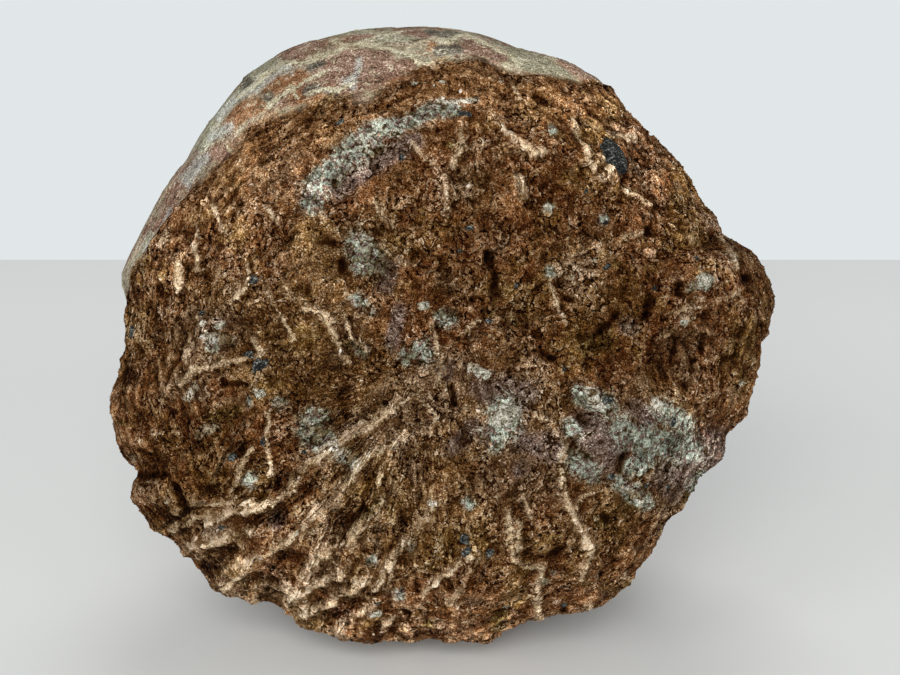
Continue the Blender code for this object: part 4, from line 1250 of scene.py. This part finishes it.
def clast_set(name, places, finish, seed):
    """Stones cut by random flat planes: the reach along each direction is the least, over
    the planes, of the plane's distance over the cosine of its angle to the direction."""
    chance = np.random.default_rng(seed)
    spots = np.array(places, float)
    count = len(spots)
    ball, faces, sheet = star_ball(CLAST_DETAIL)
    planes = chance.normal(size=(count, CLAST_CUTS, 3))
    planes /= np.linalg.norm(planes, axis=2)[:, :, None]
    away = chance.uniform(*CLAST_CUT_PLACES, (count, CLAST_CUTS, 1))
    reach = away / np.maximum(np.einsum("ncx,bx->ncb", planes, ball), 0.05)
    lumps = ball[None] * np.minimum(reach.min(axis=1), CLAST_REACH)[:, :, None]
    half = np.stack([spots[:, 2], spots[:, 3], CLAST_HEIGHT * spots[:, 3]], 1)
    lumps = lumps * half[:, None, :]
    gap = np.linalg.norm(as_seen(plain)[None] - spots[:, None, :2], axis=2)
    behind = angle > 2.0
    home = np.argmin(gap + 999.0 * behind[None], axis=1)
    up = lean_normals[home]
    along = np.cos(np.radians(spots[:, 4]))[:, None] * RIGHT
    along = along + np.sin(np.radians(spots[:, 4]))[:, None] * UP_FACE
    along -= (along * up).sum(axis=1)[:, None] * up
    along /= np.linalg.norm(along, axis=1)[:, None]
    across = np.cross(up, along)
    axes_of = np.stack([along, across, up], axis=1)
    points = np.einsum("nbk,nkx->nbx", lumps, axes_of)
    points -= up[:, None, :] * (CLAST_SINK * half[:, 2])[:, None, None]
    points = finished[home][:, None, :] + points * MM
    points[..., 2] = np.maximum(points[..., 2], 0.0)
    start = np.arange(count)[:, None, None] * len(ball)
    mesh = grid_mesh(name, points.reshape(-1, 3), (start + faces[None]).reshape(-1, 3),
                     in_own_cells(sheet, count))
    mesh.polygons.foreach_set("use_smooth", np.zeros(len(mesh.polygons), bool))
    set_down(name, mesh, finish)


def clast_finish(name):
    """Speckled stone of four shades, slightly smoother than the sandstone round it."""
    finish = Finish(name)
    speck = finish.mean((finish.noise(0.4, 2.0, 0.8), 0.9), (finish.noise(1.6, 3.0, 0.7), 0.9),
                        (-0.40, 1.0))
    finish.put(shades(finish, speck, CLAST_SHADES[name]), finish.shader.inputs["Base Color"])
    finish.put(0.7, finish.shader.inputs["Roughness"])
    finish.put(0.2, finish.shader.inputs["Specular IOR Level"])
    finish.dent(speck, 0.8)
    return finish


clast_set("dark_clasts", DARK_CLASTS, clast_finish("dark_clast"), 501)
clast_set("pale_clasts", PALE_CLASTS, clast_finish("pale_clast"), 502)

# ---- Crumbs --------------------------------------------------------------------------
# Grains and crumbs of the sandstone that stand half out of the break: small lumps with
# eight facets each, stuck where they lie, thickest on the face and thin round the back.
CRUMB_SETS = 3
CRUMBS_IN_SET = 24000
SMALL_CRUMB = 0.14
BIG_CRUMB = 0.50
BEHIND_SHARE = 0.30
CRUMB_CORNERS = (0.6, 1.25)      # how far its corners lie from its middle, over its size
CRUMB_SINK = (-0.6, 0.0)
CRUMB_SPREAD = 0.022             # how much one crumb's tone differs from another's
ODD_CRUMB = 0.16                 # how far an odd one, much paler or darker, differs
ODD_SHARES = (0.05, 0.92)        # one crumb in 20 is odd and pale, two in 25 odd and dark
CRUMB_RELIEF = 0.7               # share of a corner's own height that adds to the relief


def crumb_set(name, seed):
    """Scatter crumbs over the rough part of the stone's mesh. Each is an octahedron with
    uneven corners, turned at random: centre + turn @ (corner * size), sunk by a share of
    its size along the surface's own outward direction."""
    chance = np.random.default_rng(seed)
    ends = finished[quads]
    area = np.linalg.norm(np.cross(ends[:, 2] - ends[:, 0], ends[:, 3] - ends[:, 1]), axis=1)
    weight = area * rough[quads].mean(axis=1) * crumbly[quads[:, 0]]
    weight *= 1.0 - (1.0 - BEHIND_SHARE) * smooth_step(angle[quads[:, 0]], 1.5, 1.9)
    reach = np.cumsum(weight)
    pick = np.searchsorted(reach, chance.random(CRUMBS_IN_SET) * reach[-1])
    across, along = chance.random((2, CRUMBS_IN_SET, 1))
    corner = quads[pick]
    shares = np.concatenate([(1 - across) * (1 - along), across * (1 - along),
                             across * along, (1 - across) * along], axis=1)
    centre = (finished[corner] * shares[:, :, None]).sum(axis=1)
    up = (lean_normals[corner] * shares[:, :, None]).sum(axis=1)
    size = SMALL_CRUMB + (BIG_CRUMB - SMALL_CRUMB) * chance.random(CRUMBS_IN_SET) ** 3
    turn = np.linalg.qr(chance.normal(size=(CRUMBS_IN_SET, 3, 3)))[0]
    star = STAR * chance.uniform(*CRUMB_CORNERS, (CRUMBS_IN_SET, 6, 1)) * size[:, None, None]
    flip = np.where(np.linalg.det(turn) < 0.0, -1.0, 1.0)
    turn[:, :, 0] *= flip[:, None]
    offset = np.einsum("nij,nkj->nki", turn, star)
    sink = size * chance.uniform(*CRUMB_SINK, CRUMBS_IN_SET)
    offset += up[:, None, :] * sink[:, None, None]
    points = centre[:, None, :] + offset * MM
    points[..., 2] = np.maximum(points[..., 2], 0.0)
    start = np.arange(CRUMBS_IN_SET)[:, None, None] * 6
    faces = (start + FACET_TURNS[None]).reshape(-1, 3)
    sheet = in_own_cells(SHEET_SPOTS, CRUMBS_IN_SET)
    mesh = grid_mesh(name, points.reshape(-1, 3), faces, sheet)
    mesh.polygons.foreach_set("use_smooth", np.zeros(len(faces), bool))
    height = np.einsum("nkj,nj->nk", offset, up)
    odd = chance.random(CRUMBS_IN_SET)
    grit_tone = chance.normal(0.0, CRUMB_SPREAD, CRUMBS_IN_SET)
    grit_tone += np.where(odd < ODD_SHARES[0], ODD_CRUMB, 0.0)
    grit_tone -= np.where(odd > ODD_SHARES[1], ODD_CRUMB, 0.0)
    for label, values in stored.items():
        here = np.repeat((values[corner] * shares).sum(axis=1), 6)
        # The crumbs' own heights add to the relief, so their raised corners take painted light.
        if label == "relief":
            here = here + CRUMB_RELIEF * height.ravel()
        if label == "grit":
            here = np.repeat(grit_tone, 6)
        keep_number(mesh, label, here)
    set_down(name, mesh, stone)


crumbly = 0.25 + smooth_step(layered(plain, 6.0, 130), -0.3, 0.3)
for layer in range(CRUMB_SETS):
    crumb_set(f"crumbs_{layer + 1}", 300 + layer)
